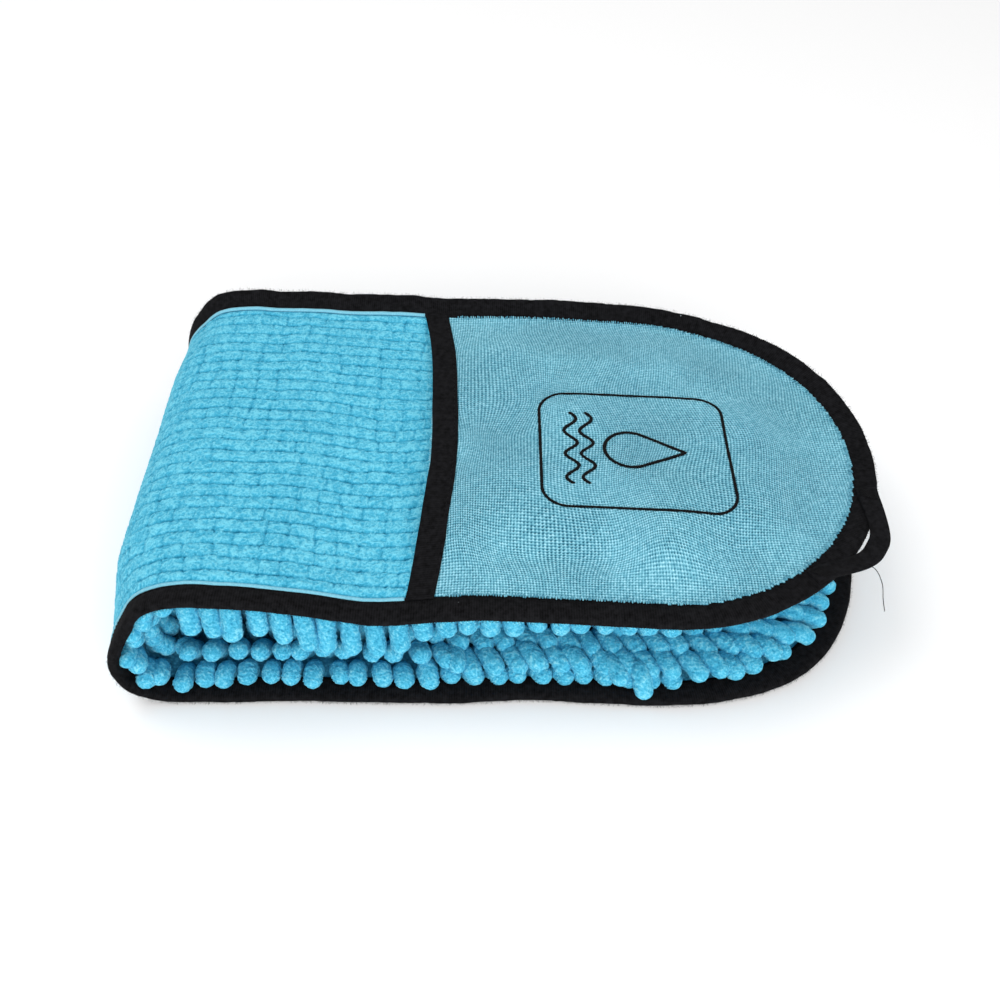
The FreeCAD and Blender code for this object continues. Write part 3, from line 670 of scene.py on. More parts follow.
def terry_relief(S, Y, row, column):
    """Rows of little loops: pits between them at the grid's even points."""
    pit = (row % 2 == 0) & (column % 2 == 0)
    peak = (row % 2 == 1) & (column % 2 == 1)
    patch = np.clip(0.55 + 0.6 * noise(S / 26, Y / 22, 41) + 0.25 * noise(S / 6, Y / 6, 42), 0.1, 1)
    loose = rng.uniform(0, 1, S.shape)
    height = np.where(pit, -(0.25 + 0.55 * patch) * (0.5 + 0.8 * loose), np.where(peak, 0.20, 0.05))
    height = height + rng.uniform(-0.08, 0.08, S.shape)
    # Painted shade in the pits, darkest where the pits are deepest, and a painted highlight on the loops'
    # tops.
    relief = np.where(pit, 0.36 - 0.36 * patch * (0.4 + 0.6 * loose), np.where(peak, 0.92, 0.68))
    relief = relief + rng.uniform(-0.14, 0.12, S.shape)
    border = smooth((inset(S, Y) - 10.5) / 2.0)
    return np.clip(relief, 0, 1), height * border


def plain_relief(S, Y, row, column):
    return np.full(S.shape, 0.5), np.zeros(S.shape)


def make_pocket_panels():
    near = s_upper(MOUTH_X + 1.5)
    upper = round_cloth("pocket_terry_upper", TERRY, near, UPPER_END + HALF_W, 1.31,
                        lambda s, y: -0.15 - pocket_lift(s, y) * smooth((s - mouth_s(y) + 8) / 6),
                        lambda s, y: 1.2 - pocket_lift(s, y) * smooth((s - mouth_s(y) + 8) / 6),
                        terry_relief, TERRY_EDGE)
    near_low = s_lower(MOUTH_X + 1.5)
    lower = round_cloth("pocket_terry_lower", TERRY, near_low, LOWER_END - HALF_W, 2.4,
                        lambda s, y: np.full(s.shape, 0.45), lambda s, y: np.full(s.shape, 1.9),
                        terry_relief, TERRY_EDGE)
    for piece, half in ((upper, "upper"), (lower, "lower")):
        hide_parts(f"pocket_panel_{half}")
        ride(piece, f"{half}_half")


def make_back_cloths():
    """The back panel where a pocket covers it: seen only through the pocket's mouth."""
    for half, near, far in (("upper", s_upper(MOUTH_X - 4), UPPER_END + HALF_W),
                            ("lower", s_lower(MOUTH_X - 4), LOWER_END - HALF_W)):
        piece = round_cloth(f"back_cloth_{half}", WAFFLE, near, far, 3.0,
                            lambda s, y: np.full(s.shape, 2.5), lambda s, y: np.full(s.shape, 4.0),
                            plain_relief, CLOTH_EDGE, fine=1)
        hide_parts(f"back_panel_{half}")
        ride(piece, f"{half}_half")


def make_chenille_base():
    """The knitted cloth that the noodles stand on, in four pieces like the panel behind it."""
    step = 2.0
    for region, (low, high) in enumerate(REGIONS):
        near = max(low, LOWER_END) if region == 0 else low
        far = min(high, UPPER_END) if region == 3 else high
        s = np.linspace(near, far, int((far - near) / step) + 2)
        y = np.linspace(-HALF_W + CLOTH_EDGE, HALF_W - CLOTH_EDGE, 60)
        S, Y = np.meshgrid(s, y, indexing="ij")
        roll = 0.25 * noise(S / 3, Y / 3, 51)
        rings = np.concatenate([place(S, Y, BASE_D + roll), place(S[:, ::-1], Y[:, ::-1], BASE_D - 1.1)], 1)
        piece = ring_sweep(f"knit_{REGION_NAMES[region]}", rings, KNIT)
        piece.data.flip_normals()
        bend(piece, region)
        if region:
            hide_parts(f"chenille_base_fold_{region}")
    for half, near, far in (("upper", UPPER_END, UPPER_END + HALF_W),
                            ("lower", LOWER_END, LOWER_END - HALF_W)):
        piece = round_cloth(f"knit_end_{half}", KNIT, near, far, 2.5,
                            lambda s, y: np.full(s.shape, BASE_D - 1.1),
                            lambda s, y: np.full(s.shape, BASE_D),
                            plain_relief, CLOTH_EDGE, fine=1)
        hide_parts(f"chenille_base_{half}")
        ride(piece, f"{half}_half")


# ---- Edge binding ----------------------------------------------------------------------------

STRAIGHT = ARC / 2 + FLAT
ROUND = math.pi * HALF_W
LOOP = 4 * STRAIGHT + 2 * ROUND


def rim(p):
    """The rim at p millimetres along it, from the fold's front middle up and round: s, y, outward."""
    p = np.mod(np.asarray(p, float), LOOP)
    s, y, os, oy = (np.zeros_like(p) for _ in range(4))
    middle = ARC / 2
    legs = [
        (0, STRAIGHT, lambda q: (middle + q, -HALF_W + 0 * q, 0 * q, -1 + 0 * q)),
        (STRAIGHT, ROUND, lambda q: (UPPER_END + HALF_W * np.sin(q / HALF_W), -HALF_W * np.cos(q / HALF_W),
                                     np.sin(q / HALF_W), -np.cos(q / HALF_W))),
        (STRAIGHT + ROUND, 2 * STRAIGHT, lambda q: (UPPER_END - q, HALF_W + 0 * q, 0 * q, 1 + 0 * q)),
        (3 * STRAIGHT + ROUND, ROUND, lambda q: (LOWER_END - HALF_W * np.sin(q / HALF_W),
                                                 HALF_W * np.cos(q / HALF_W),
                                                 -np.sin(q / HALF_W), np.cos(q / HALF_W))),
        (3 * STRAIGHT + 2 * ROUND, STRAIGHT, lambda q: (LOWER_END + q, -HALF_W + 0 * q, 0 * q, -1 + 0 * q)),
    ]
    for start, length, formula in legs:
        here = (p >= start) & (p <= start + length)
        values = formula(p[here] - start)
        for target, value in zip((s, y, os, oy), values):
            target[here] = value
    return s, y, os, oy


SEAM_W = TAPE_W - 1.6    # from the rim to the row of stitches
TAPE_STEP = 0.55         # from one cross rib of the tape to the next
STITCH_TAPER = [0.7, 1, 1, 1, 0.7]


def ribs(count, high, low):
    """Heights of the tape's cross ribs and of the valleys between them, one for each station."""
    return np.where(np.arange(count) % 2 == 0, high, low)[:, None]


def tape_section():
    """The folded tape's section: distance in from the rim, depth, and the outward direction there."""
    half = RIM / 2
    outer = [(w, 0.0, 0, -1) for w in np.linspace(TAPE_W, half, 8)]
    turn = [(half - half * math.cos(a), half + half * math.sin(a), -math.cos(a), math.sin(a))
            for a in np.linspace(-1.3, 1.3, 8)]
    inner = [(w, RIM, 0, 1) for w in np.linspace(half, TAPE_W, 5)]
    lining = [(TAPE_W - 0.1, RIM - 1.0, 0, 0), (half, RIM - 1.2, 0, 0), (half, 1.2, 0, 0),
              (TAPE_W - 0.1, 1.0, 0, 0)]
    return np.array(outer + turn + inner + lining)


def tape_run(name, start, end):
    section = tape_section()
    count = int(round((end - start) / TAPE_STEP))
    p = np.linspace(start, end, count)
    s, y, os, oy = (v[:, None] for v in rim(p))
    w, d, nw, nd = section.T
    rib = ribs(count, 0.10, -0.06)
    seam = -0.35 * np.exp(-((w - SEAM_W) / 0.7) ** 2) * (np.abs(nd) > 0.5)
    puff = 0.35 * np.sin(np.clip((w - 2) / 8.6, 0, 1) * math.pi) * (np.abs(nd) > 0.5)
    soft = 0.22 * noise(p[:, None] / 9, w / 7 + d / 3, 61) + 0.10 * noise(p[:, None] / 2.3, w + d, 62)
    raised = rib + seam + puff + soft
    edge_wander = 0.35 * noise(p / 11, 0, 63)[:, None] * (w > 9)
    ww = w - nw * -raised + edge_wander
    dd = off_floor(s, d + nd * raised, 0.02)
    rings = place(s - os * ww, y - oy * ww, dd)
    # Painted shade: the colour is paler on the cross ribs and the raised parts of the tape and darker between
    # them.
    relief = np.broadcast_to(0.5 + rib * 3.5 + 0.15 * soft, rings.shape[:2])
    return ring_sweep(name, rings[:, ::-1], TAPE, relief[:, ::-1])


def make_edge_binding():
    quarter = ARC / 4
    half_way = 2 * STRAIGHT + ROUND
    runs = [
        ("edge_tape_upper", quarter, half_way - quarter, 3, ["edge_binding_upper"]),
        ("edge_tape_fold_high_rear", half_way - quarter, half_way, 2, ["rear_binding_fold_3"]),
        ("edge_tape_fold_low_rear", half_way, half_way + quarter, 1, ["rear_binding_fold_2"]),
        ("edge_tape_lower", half_way + quarter, LOOP - quarter, 0,
         ["edge_binding_lower", "rear_binding_fold_1", "front_binding_fold_1"]),
        ("edge_tape_fold_low_front", LOOP - quarter, LOOP, 1, ["front_binding_fold_2"]),
        ("edge_tape_fold_high_front", 0, quarter, 2, ["front_binding_fold_3"]),
    ]
    for name, start, end, region, nodes in runs:
        piece = tape_run(name, start, end)
        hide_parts(*nodes)
        bend(piece, region)


def rim_stitches():
    """The seam that holds the tape: a row of short stitches on both faces."""
    pitch, length, radius, w = 3.1, 2.3, 0.24, SEAM_W
    count = int(LOOP / pitch)
    p = np.arange(count) * LOOP / count
    middle_s = rim(p)[0]
    for region, (low, high) in enumerate(REGIONS):
        batch = Batch()
        here = p[(middle_s >= low) & (middle_s < high)]
        for depth in (-0.08, RIM + 0.08):
            t = np.linspace(-0.5, 0.5, 5)
            q = here[:, None] + t * length
            s, y, os, oy = rim(q)
            dip = 0.30 * (np.abs(t) * 2) ** 3 * np.sign(depth - 1)
            d = off_floor(s, depth - dip, radius)
            centres = place(s - os * w, y - oy * w, d)
            batch.add(centres, np.full(centres.shape[:2], radius) * STITCH_TAPER, 6)
        piece = batch.build(f"rim_stitches_{REGION_NAMES[region]}", THREAD)
        if region in (0, 3):
            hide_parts(f"seam_thread_{REGION_NAMES[region]}")
        bend(piece, region)


def make_tape_fuzz():
    """Short loose fibres along the outer edge of the tape."""
    for region, (low, high) in enumerate(REGIONS):
        p = rng.uniform(0, LOOP, 9000)
        p = p[(rim(p)[0] >= low) & (rim(p)[0] < high)]
        count = len(p)
        turn = rng.uniform(-1.4, 1.4, count)
        t = np.linspace(0, 1, 4)
        reach = rng.uniform(0.4, 1.3, (count, 1)) * t
        q = p[:, None] + rng.uniform(-0.9, 0.9, (count, 1)) * t ** 2
        half = RIM / 2
        out = half - (half + reach) * np.cos(turn)[:, None]
        down = half + (half + reach) * np.sin(turn)[:, None]
        s, y, os, oy = rim(q)
        down = off_floor(s, down, 0.1)
        batch = Batch()
        centres = place(s - os * out, y - oy * out, down)
        batch.add(centres, np.full(centres.shape[:2], 0.045) * [1, 0.9, 0.75, 0.5], 4)
        bend(batch.build(f"tape_fuzz_{REGION_NAMES[region]}", TAPE), region)


def make_selvage():
    """The smooth cut edge of the plush, showing between the pile and the tape."""
    for region in range(4):
        s_from = s_lower(MOUTH_X) if region == 0 else REGIONS[region][0]
        s_to = s_upper(MOUTH_X - 5) if region == 3 else REGIONS[region][1]
        count = int((s_to - s_from) / 1.0) + 2
        s = np.linspace(s_from, s_to, count)[:, None]
        points, faces, start = [], [], 0
        for side in (-1, 1):
            w = TAPE_W + np.array([-0.8, 0.1, 0.7, 1.1, 0.8, 0.1, -0.8])
            h = np.array([0.25, 0.42, 0.35, 0.0, -0.5, -0.6, -0.6])
            ww = w + 0.25 * noise(s / 6, side, 71)
            hh = h + 0.12 * noise(s / 4, w, 72)
            d = off_floor(s, -hh, 0.1)
            ring = place(np.broadcast_to(s, ww.shape), side * (HALF_W - ww), d)
            if side > 0:
                ring = ring[:, ::-1]
            points.append(ring.reshape(-1, 3))
            caps = np.arange(7)[None, :] + start
            faces += [grid_faces(count, 7, closed=True, start=start), caps[:, ::-1], caps + (count - 1) * 7]
            start += count * 7
        piece = mesh_object(f"selvage_{REGION_NAMES[region]}", np.vstack(points), faces, SELVAGE)
        bend(piece, region)


# ---- Mouth bindings --------------------------------------------------------------------------

def make_mouth_bindings():
    section = np.array([(-6.2, 0.1), (-5.6, 0.75), (-4.2, 0.95), (-2, 1.0), (0, 1.0), (2, 0.98), (4, 0.95),
                        (5.6, 0.9), (6.3, 0.55), (6.3, -0.2), (4, -0.9), (0, -1.0), (-4, -1.0), (-5.9, -0.6)])
    half_len = HALF_W - TAPE_W + 0.8
    count = int(2 * half_len / TAPE_STEP)
    y = np.linspace(-half_len, half_len, count)[:, None]
    a, h = section.T
    rib = ribs(count, 0.09, -0.05)
    wave = 0.25 * noise(y / 9, a / 5, 81)
    grow = np.where(h > 0, 1, 0) * (rib + wave)
    s = mouth_s(y) + a * (1 + 0.03 * noise(y / 12, 0, 82))
    lift = pocket_lift(mouth_s(y) + np.clip(a, -2, 7), y)
    upper = place(s, y, -0.35 - lift - h - grow)
    # Painted shade: the tape is paler on its cross ribs and darker between them.
    relief = np.broadcast_to(0.5 + rib * 3.5, upper.shape[:2])
    piece = ring_sweep("mouth_tape_upper", upper[:, ::-1], TAPE, relief[:, ::-1])
    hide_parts("mouth_binding_upper")
    ride(piece, "upper_half")
    low_s = s_lower(MOUTH_X + MOUTH_BOW / 2) - a
    depth = np.maximum(1.25 - h * 1.05 - grow * 0.5, 0.04)
    lower = place(low_s + 0 * y, y, depth)
    piece = ring_sweep("mouth_tape_lower", lower, TAPE, relief)
    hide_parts("mouth_binding_lower")
    ride(piece, "lower_half")
    make_mouth_stitches(half_len)


def make_mouth_stitches(half_len):
    stitches = Batch()
    t = np.linspace(-0.5, 0.5, 5)
    ys = np.arange(-half_len + 3, half_len - 2, 3.1)[:, None] + t * 2.2
    s = mouth_s(ys) + 4.7
    dip = 0.3 * (np.abs(t) * 2) ** 3
    centres = place(s, ys, -0.35 - pocket_lift(s, ys) - 1.02 + dip)
    stitches.add(centres, np.full(centres.shape[:2], 0.27) * STITCH_TAPER, 6)
    piece = stitches.build("mouth_stitches_upper", THREAD)
    ride(piece, "upper_half")


# ---- Terry loops along the tape --------------------------------------------------------------

def make_edge_loops():
    """The outermost terry loops poke over the tape's inner edge and make it ragged."""
    first = s_upper(MOUTH_X) - ARC / 2 + 12
    p = np.arange(first, 2 * STRAIGHT + ROUND - first, 1.15)
    p = p + rng.uniform(-0.25, 0.25, p.shape)
    s, y, os, oy = rim(p)
    w = TAPE_W + rng.uniform(-0.7, 0.1, p.shape)
    reach = rng.uniform(1.0, 1.7, p.shape)
    t = np.linspace(0, 1, 4)
    ww = w[:, None] + reach[:, None] * (1 - t)
    rise = 0.30 * np.sin(t * math.pi) + 0.05
    ss, yy = s[:, None] - os[:, None] * ww, y[:, None] - oy[:, None] * ww
    centres = place(ss, yy, -0.25 - pocket_lift(ss, yy) * 0.6 - rise)
    radii = rng.uniform(0.30, 0.44, (len(p), 1)) * np.array([0.8, 1.0, 1.0, 0.8])
    relief = np.broadcast_to(rng.uniform(0.45, 0.75, (len(p), 1, 1)), (len(p), 4, 6))
    batch = Batch()
    batch.add(centres, radii, 6, relief)
    ride(batch.build("terry_edge_loops", TERRY), "upper_half")


# ---- Noodles ---------------------------------------------------------------------------------

def pile_places(clear=15.4):
    """Roots of the noodles of one half, as X and y, on a staggered grid inside the tape."""
    rows = int((HALF_W - clear) // ROW_PITCH)
    places = []
    for row in range(-rows, rows + 1):
        x = FOLD_X + NOODLE_R + (NOODLE_PITCH / 2 if row % 2 else 0)
        while x < TIP_X:
            if inset(s_upper(x), row * ROW_PITCH) >= clear:
                places.append((x, row * ROW_PITCH))
            x += NOODLE_PITCH
    places = np.array(places)
    return places + rng.uniform(-0.5, 0.5, places.shape) * [1, 0.6]


def noodle_tubes(batch, roots, start, end, length, stations, around, radius=NOODLE_R):
    """Bent round-ended tufts from roots, leaving along start and ending along end."""
    count = len(roots)
    t = np.linspace(0, 1, stations)
    even = np.concatenate([t[:-4] * 0.86 / t[-5], 0.86 + 0.14 * np.array([0.35, 0.65, 0.87, 1.0])])
    turn = smooth(even)[None, :, None]
    heading = unit(start[:, None] * (1 - turn) + end[:, None] * turn)
    steps = np.diff(even)[None, :, None] * length[:, None, None]
    moves = (heading[:, 1:] + heading[:, :-1]) / 2 * steps
    path = np.concatenate([np.zeros((count, 1, 3)), np.cumsum(moves, 1)], 1)
    centres = roots[:, None] + path
    left = (1 - even)[None, :] * length[:, None]
    rounding = np.sqrt(np.clip(1 - (1 - np.clip(left / radius, 0, 1)) ** 2, 0.02, 1))
    neck = 0.80 + 0.20 * smooth(even / 0.22)[None, :]
    plump = 1 + 0.05 * rng.uniform(-1, 1, (count, 1)) + 0.035 * rng.uniform(-1, 1, (count, stations))
    radii = radius * rounding * neck * plump
    seed = rng.uniform(0, 200, count)
    a = np.arange(around) / around * 2 * math.pi
    coarse = noise(seed[:, None, None] + 1.9 * np.cos(a), even[None, :, None] * 9 + 1.9 * np.sin(a), 91)
    speck = rng.uniform(-1, 1, (count, stations, around))
    jitter = 0.025 * coarse + 0.075 * speck
    relief = 0.54 + 0.10 * coarse + 0.22 * speck
    # Painted shade: the colour darkens towards each noodle's root, deep in the pile.
    relief = relief * (0.45 + 0.55 * smooth(even / 0.6))[None, :, None]
    batch.add(centres, radii, around, np.clip(relief, 0, 1), jitter)


def direction(x, y, z):
    parts = [np.asarray(value, float) for value in (x, y, z)]
    return unit(np.stack(np.broadcast_arrays(*parts), -1))


def outward(x, y):
    """Unit direction, in plan, from the middle of the mitt to its nearest rim."""
    along = np.maximum(x - END_X, 0)
    across = np.where((x > END_X) | (np.abs(y) > 20), y, 0)
    size = np.hypot(along, across) + 1e-6
    return along / size, across / size


def pile_pieces(half, y, roots, start, end, length):
    """The noodles of one half in two pieces: the front ones, drawn finely, and the rest."""
    front = y < FRONT_Y
    for name, chosen, grain in (("front", front, FINE), ("inner", ~front, COARSE)):
        batch = Batch()
        noodle_tubes(batch, roots[chosen], start[chosen], end[chosen], length[chosen], *grain)
        if (half, name) == ("lower", "front"):
            add_stray_noodles(batch)
        piece = batch.build(f"noodles_{half}_{name}", CHENILLE)
        if name == "front":
            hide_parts(f"noodles_{half}")
        ride(piece, f"{half}_half")


def make_upper_noodles():
    x, y = pile_places().T
    s = s_upper(x)
    roots = place(s, y, BASE_D - 0.4)
    w = inset(s, y)
    count = len(x)
    edge = (1 - smooth((w - 14) / 18)) * (0.42 - 0.30 * smooth((x + 45) / 60))
    out_x, out_y = outward(x, y)
    sway = rng.uniform(-0.14, 0.14, (4, count))
    start = direction(out_x * edge + sway[0] * 0.5, out_y * edge + sway[1] * 0.5, -1)
    end = direction(out_x * edge + 0.10 + sway[2], out_y * edge + sway[3], -1)
    room = roots[:, 2] - 28.5
    shown = 20.5 + 7.0 * (1 - smooth((x + 50) / 25)) + 3.5 * swell(x, -62, 26) + 4.5 * swell(x, 2, 22)
    length = np.where(w < 24, shown, np.clip(room, 22, 30)) + rng.uniform(-1.3, 1.3, count)
    pile_pieces("upper", y, roots, start, end, length)


def mixed(a, b, t):
    return a * (1 - t[:, None]) + b * t[:, None]


def comb(w, across, along, up, loose):
    """Headings that all lean one way towards the round end."""
    flat = np.stack([across[0] * along[0] + along[1], across[1] * along[0], 0 * w], -1)
    return unit(flat) * along[2] + np.stack([loose[0], loose[1], up + 0.5 * loose[2]], -1)


def make_lower_noodles():
    """The lower pile: arched over the tape near the fold, combed towards the round end further on."""
    x, y = pile_places().T
    s = s_lower(x)
    roots = place(s, y, BASE_D - 0.4)
    w = inset(s, y)
    count = len(x)
    out_x, out_y = outward(x, y)
    hand = np.where(out_y <= 0, 1, -1)
    side_x, side_y = -out_y * hand, out_x * hand
    combed = smooth((x + 52) / 40)
    sway = rng.uniform(-1, 1, (2, 3, count))

    def heading(outside, beside, up, loose, pick):
        tilt = sway[pick] * loose
        return np.stack([out_x * outside + side_x * beside + tilt[0],
                         out_y * outside + side_y * beside + tilt[1], up + 0.5 * tilt[2]], -1)

    first, second = w < 21, (w >= 21) & (w < 31)
    start = heading(0.25, 0.0, 1.0, 0.15, 0)
    end = heading(0.35, 0.25, 0.70, 0.45, 1)
    start[first] = heading(0.42, 0.0, 0.90, 0.12, 0)[first]
    end[first] = heading(0.66, 0.10, -0.60, 0.26, 1)[first]
    start[second] = heading(0.25, 0.0, 1.0, 0.12, 0)[second]
    end[second] = heading(0.78, 0.05, 0.50, 0.12, 1)[second]
    deep = smooth((w - 15) / 38)
    near = w < 52
    start_comb = comb(w, (out_x, out_y), (0.8, 0.45, 0.50), 0.70 + 0.30 * deep, 0.10 * sway[0])
    end_comb = comb(w, (out_x, out_y), (0.8, 0.50, 0.95), -0.55 + 0.65 * deep, 0.12 * sway[1])
    start[near] = mixed(start, start_comb, combed)[near]
    end[near] = mixed(end, end_comb, combed)[near]
    short = 11.8 + 11.2 * smooth((w - 14) / 11) - 5.0 * smooth((x - 130) / 30)
    length = np.where(first, 14.2, 23.0)
    length = length + (short - length) * combed * near + rng.uniform(-1.3, 1.3, count)
    pile_pieces("lower", y, roots, unit(start), unit(end), length)


# The few noodles that stand out from the combed rows: X, inset, headings and length.
STRAYS = [(60, 19.5, (0.20, -0.50, 1.0), (0.12, -0.55, -0.90), 27.0),
          (47, 22.0, (0.30, -0.45, 0.9), (0.30, -0.70, -0.40), 24.0),
          (-34, 17.5, (0.10, -0.45, 1.0), (0.15, -0.60, -0.80), 18.5),
          (-21, 27.0, (0.0, -0.45, 1.0), (0.12, -0.75, -0.10), 25.0),
          (8, 27.0, (0.3, -0.4, 0.9), (0.45, -0.75, -0.25), 25.0),
          (27, 26.0, (0.3, -0.4, 0.9), (0.50, -0.75, -0.20), 25.0)]


def add_stray_noodles(batch):
    for x, w, start, end, length in STRAYS:
        root = place(s_lower(x), w - HALF_W, BASE_D - 0.4)
        noodle_tubes(batch, root[None], unit(np.array([start])), unit(np.array([end])),
                     np.array([length]), *FINE)


def make_fold_noodles():
    """Rows of noodles round the inside of the fold, combed towards the nearer rim."""
    rows = np.linspace(2.0, ARC - 3, 10)
    for region, (low, high) in enumerate(REGIONS):
        batch = Batch()
        for number, s_row in enumerate(rows):
            if not low <= s_row < high:
                continue
            y = np.arange(-HALF_W + 16.5, HALF_W - 15.5, 9.9)
            s = np.full(y.shape, s_row) + (number % 2 - 0.5) * 3 + rng.uniform(-0.8, 0.8, y.shape)
            roots = place(s, y, BASE_D - 0.4)
            into = inward(s, y)
            stand = 0.95 if number % 2 else 0.45
            side = np.stack([0 * y, np.where(y < 45, -1.0, 1.0), 0 * y], -1)
            near = (y < -80)[:, None]
            start = unit(into * np.where(near, stand, 1.0) + side * np.where(near, 0.70, 0.25))
            end = unit(into * np.where(near, 0.0, 1.0) + side + rng.uniform(-0.12, 0.12, side.shape))
            length = np.where(y < -80, 15.5, 17.0) + rng.uniform(-1.5, 1.5, y.shape)
            noodle_tubes(batch, roots, start, end, length, 24, 22)
        piece = batch.build(f"noodles_fold_{REGION_NAMES[region]}", CHENILLE)
        bend(piece, region)
        if region:
            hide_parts(f"noodles_fold_{region}")


# ---- Embroidery ------------------------------------------------------------------------------

EMBLEM_X, EMBLEM_Y = 63.0, -11.5
FRAME_HALF = (44.0, 38.0)
FRAME_CORNER = 12.0


def frame_line():
    """Rounded frame, as points about the emblem's centre."""
    a, b, r = *FRAME_HALF, FRAME_CORNER
    points = []
    for cx, cy, turn in ((a - r, b - r, 0), (r - a, b - r, 90), (r - a, r - b, 180), (a - r, r - b, 270)):
        for angle in np.radians(turn + np.linspace(0, 90, 13)):
            points.append((cx + r * math.cos(angle), cy + r * math.sin(angle)))
    return np.array(points + points[:1])


def drop_line():
    """A water drop with its point towards the round end of the mitt."""
    radius, reach = 12.0, 26.0
    touch = math.acos(radius / reach)
    arc = np.linspace(touch, 2 * math.pi - touch, 40)
    bowl = np.stack([radius * np.cos(arc), radius * np.sin(arc)], -1)
    return np.vstack([[(reach, 0)], bowl, [(reach, 0)]]) + [-2, 0]


def wave_line(x):
    y = np.linspace(-24, 24, 97)
    return np.stack([x + 3.0 * np.sin(y / 8 * math.pi), y], -1)


def make_embroidery():
    batch = Batch()
    for line, width in ((frame_line(), 1.35), (drop_line(), 1.7),
                        (wave_line(-22), 1.6), (wave_line(-29.5), 1.6)):
        run = np.concatenate([[0], np.cumsum(np.linalg.norm(np.diff(line, axis=0), axis=1))])
        at = np.arange(0, run[-1], 0.40)
        centre = np.stack([np.interp(at, run, line[:, k]) for k in (0, 1)], -1)
        ahead = np.stack([np.interp(at + 0.3, run, line[:, k]) for k in (0, 1)], -1) - centre
        ahead = unit(ahead + 1e-9)
        slant = 0.35 + 0.15 * rng.uniform(-1, 1, len(at))
        across = unit(np.stack([-ahead[:, 1], ahead[:, 0]], -1) + ahead * slant[:, None])
        t = np.linspace(-0.5, 0.5, 4)
        spread = width * (1 + 0.18 * rng.uniform(-1, 1, (len(at), 1, 1)))
        flat = centre[:, None] + across[:, None] * t[None, :, None] * spread
        s = s_upper(EMBLEM_X + flat[..., 0])
        y = EMBLEM_Y + flat[..., 1]
        arch = 0.32 * (1 - (2 * t) ** 2) + 0.12
        centres = place(s, y, -0.15 - pocket_lift(s, y) - arch)
        radii = np.full(centres.shape[:2], 0.24) * [0.8, 1, 1, 0.8]
        batch.add(centres, radii, 6)
    piece = batch.build("drop_embroidery", THREAD)
    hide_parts("pocket_embroidery")
    ride(piece, "upper_half")


# ---- Hanging loop ----------------------------------------------------------------------------

LOOP_TURN = math.radians(-33.0)


def loop_place(u, v, d):
    """Space for a point u beyond the rim and v along it, about the loop's middle."""
    reach = HALF_W + u
    s = UPPER_END + reach * math.cos(LOOP_TURN) - v * math.sin(LOOP_TURN)
    y = reach * math.sin(LOOP_TURN) + v * math.cos(LOOP_TURN)
    return place(s, y, d)


def make_loop():
    count = 150
    v = np.linspace(-31.5, 31.5, count)
    bell = smooth((1 - np.abs(v) / 34) * 1.09)
    curve = v ** 2 / (2 * HALF_W)
    u = -5.8 + 11.9 * bell - curve
    du, dv = np.gradient(u), np.gradient(v)
    size = np.hypot(du, dv)
    side_u, side_v = dv / size, -du / size
    depth = -1.0 + 1.7 * smooth(bell * 1.4 - 0.3) + 0.5 * noise(v / 14, 0, 95)
    section = np.array([(-4.6, 0), (-4.2, -0.7), (-2, -0.85), (0, -0.8), (2, -0.85), (4.2, -0.7), (4.6, 0),
                        (4.2, 0.7), (2, 0.8), (0, 0.8), (-2, 0.8), (-4.2, 0.7)])
    a, h = section.T
    rib = ribs(count, 0.07, -0.04) * np.sign(h)
    uu = u[:, None] + side_u[:, None] * a
    vv = v[:, None] + side_v[:, None] * a
    tilt = 0.10 * a * np.sin(v / 30 * math.pi)[:, None]
    dd = depth[:, None] + h + rib + tilt
    rings = loop_place(uu, vv, dd)
    # Painted shade: the tape is paler on its cross ribs and darker between them.
    relief = np.broadcast_to(0.5 + np.abs(rib) * 3, rings.shape[:2])
    piece = ring_sweep("hanging_loop_tape", rings, TAPE, relief)
    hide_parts("hanging_loop")
    ride(piece, "hanging_loop")
    make_loop_tacks(v, u, depth)


def make_loop_tacks(v, u, depth):
    """A zigzag of thread over each end of the loop, where it is caught in the rim's seam."""
    tacks = Batch()
    for middle in (-27.5, 27.5):
        k = np.arange(26)
        vv = middle + (k[:, None] - 12.5) * 0.16 + np.array([-0.12, 0.0, 0.12])
        t = np.linspace(-3.6, 3.6, 3) * np.where(k[:, None] % 2 == 0, 1, -1)
        d = np.interp(vv, v, depth) - 1.0
        tacks.add(loop_place(np.interp(vv, v, u) + t, vv, d), np.full(vv.shape, 0.2), 5)
    piece = tacks.build("loop_tack_thread", THREAD)
    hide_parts("loop_bar_tacks")
    ride(piece, "hanging_loop")


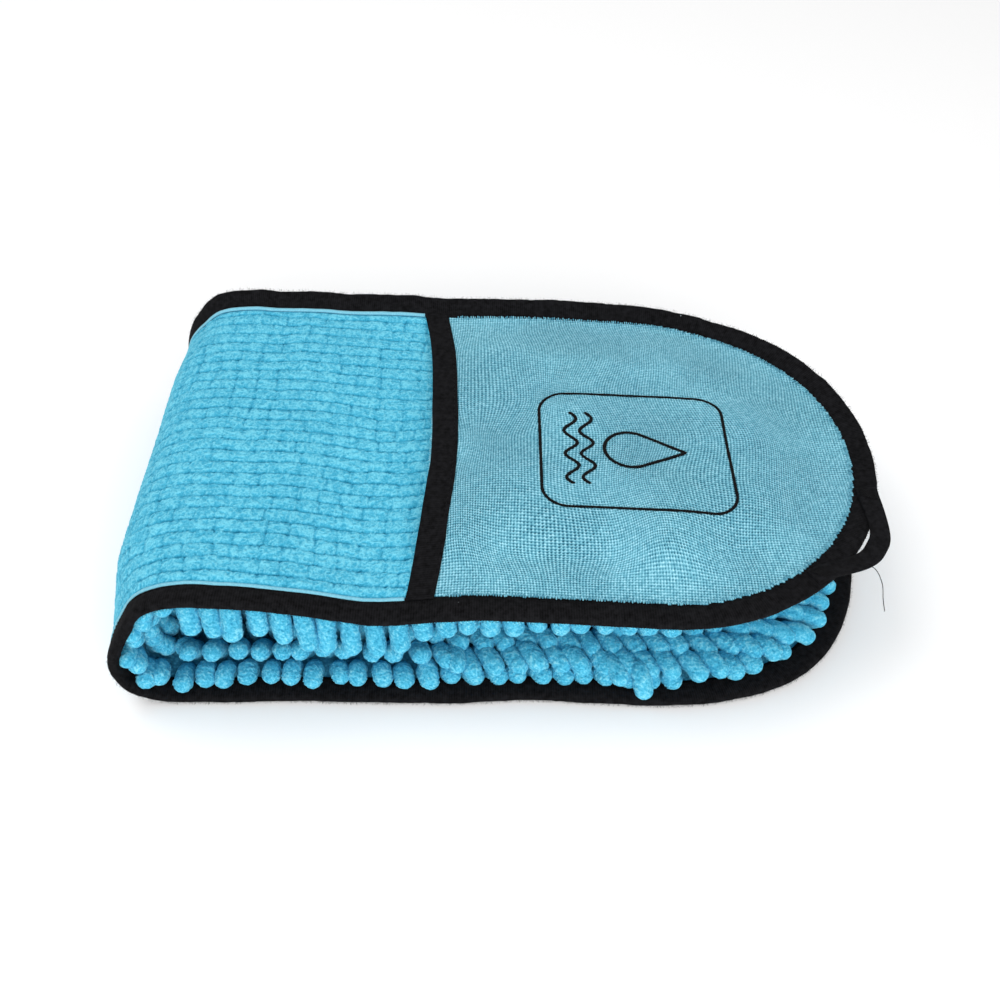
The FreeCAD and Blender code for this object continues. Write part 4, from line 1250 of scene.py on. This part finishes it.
def make_loose_thread():
    """The seam's loose end: from the rim across the loop's tape, then left hanging beside it."""
    beyond, along = np.array([-5.0, 1.0, 6.5, 10.6]), np.array([-17.0, -15.0, -13.0, -12.4])
    over = loop_place(beyond, along, np.array([-1.9, -1.5, -1.3, 0.2]))
    drop = over[-1] + np.array([(2.6, -4.2, -4.2), (4.0, -7.0, -10.8), (6.2, -8.4, -18.0)])
    line = catmull(list(np.vstack([over, drop])), 8)
    batch = Batch()
    batch.add(line[None], np.full((1, len(line)), 0.17), 6)
    ride(batch.build("loose_thread_end", THREAD), "upper_half")


# ---- Floor, light and camera -----------------------------------------------------------------

def make_stage():
    floor = bpy.data.meshes.new("floor")
    size = 6.0
    square = [(-size, -size, 0), (size, -size, 0), (size, size, 0), (-size, size, 0)]
    floor.from_pydata(square, [], [(0, 1, 2, 3)])
    thing = bpy.data.objects.new("floor", floor)
    bpy.context.scene.collection.objects.link(thing)
    paint = Nodes("pale_floor", 0.9)
    paint.shader.inputs["Base Color"].default_value = (0.98, 0.98, 0.98, 1)
    floor.materials.append(paint.material)
    world = bpy.data.worlds.new("studio")
    bpy.context.scene.world = world
    world.use_nodes = True
    world.node_tree.nodes["Background"].inputs["Color"].default_value = (1, 1, 1, 1)
    world.node_tree.nodes["Background"].inputs["Strength"].default_value = 0.76
    for name, at, size, power in (("key", (-0.6, 0.1, 1.3), 0.8, 5.5),
                                  ("fill", (0.25, -1.2, 0.55), 1.0, 11.0)):
        data = bpy.data.lights.new(name, "AREA")
        data.energy, data.size = power, size
        lamp = bpy.data.objects.new(name, data)
        lamp.location = at
        lamp.rotation_euler = (Vector((0, 0, 0.03)) - Vector(at)).to_track_quat("-Z", "Y").to_euler()
        bpy.context.scene.collection.objects.link(lamp)


def make_camera():
    elevation = math.radians(48.0)
    data = bpy.data.cameras.new("camera")
    data.sensor_width = 36.0
    data.lens = 38.88
    camera = bpy.data.objects.new("camera", data)
    camera.location = (0.0, -0.370, 0.428)
    look = Vector((0, math.cos(elevation), -math.sin(elevation)))
    camera.rotation_euler = look.to_track_quat("-Z", "Y").to_euler()
    bpy.context.scene.collection.objects.link(camera)
    bpy.context.scene.camera = camera
    bpy.context.scene.view_settings.view_transform = "Standard"


make_camera()
make_stage()
make_waffle()
make_pocket_panels()
make_back_cloths()
make_chenille_base()
make_edge_binding()
rim_stitches()
make_tape_fuzz()
make_selvage()
make_mouth_bindings()
make_edge_loops()
make_upper_noodles()
make_lower_noodles()
make_fold_noodles()
make_embroidery()
make_loop()
make_loose_thread()
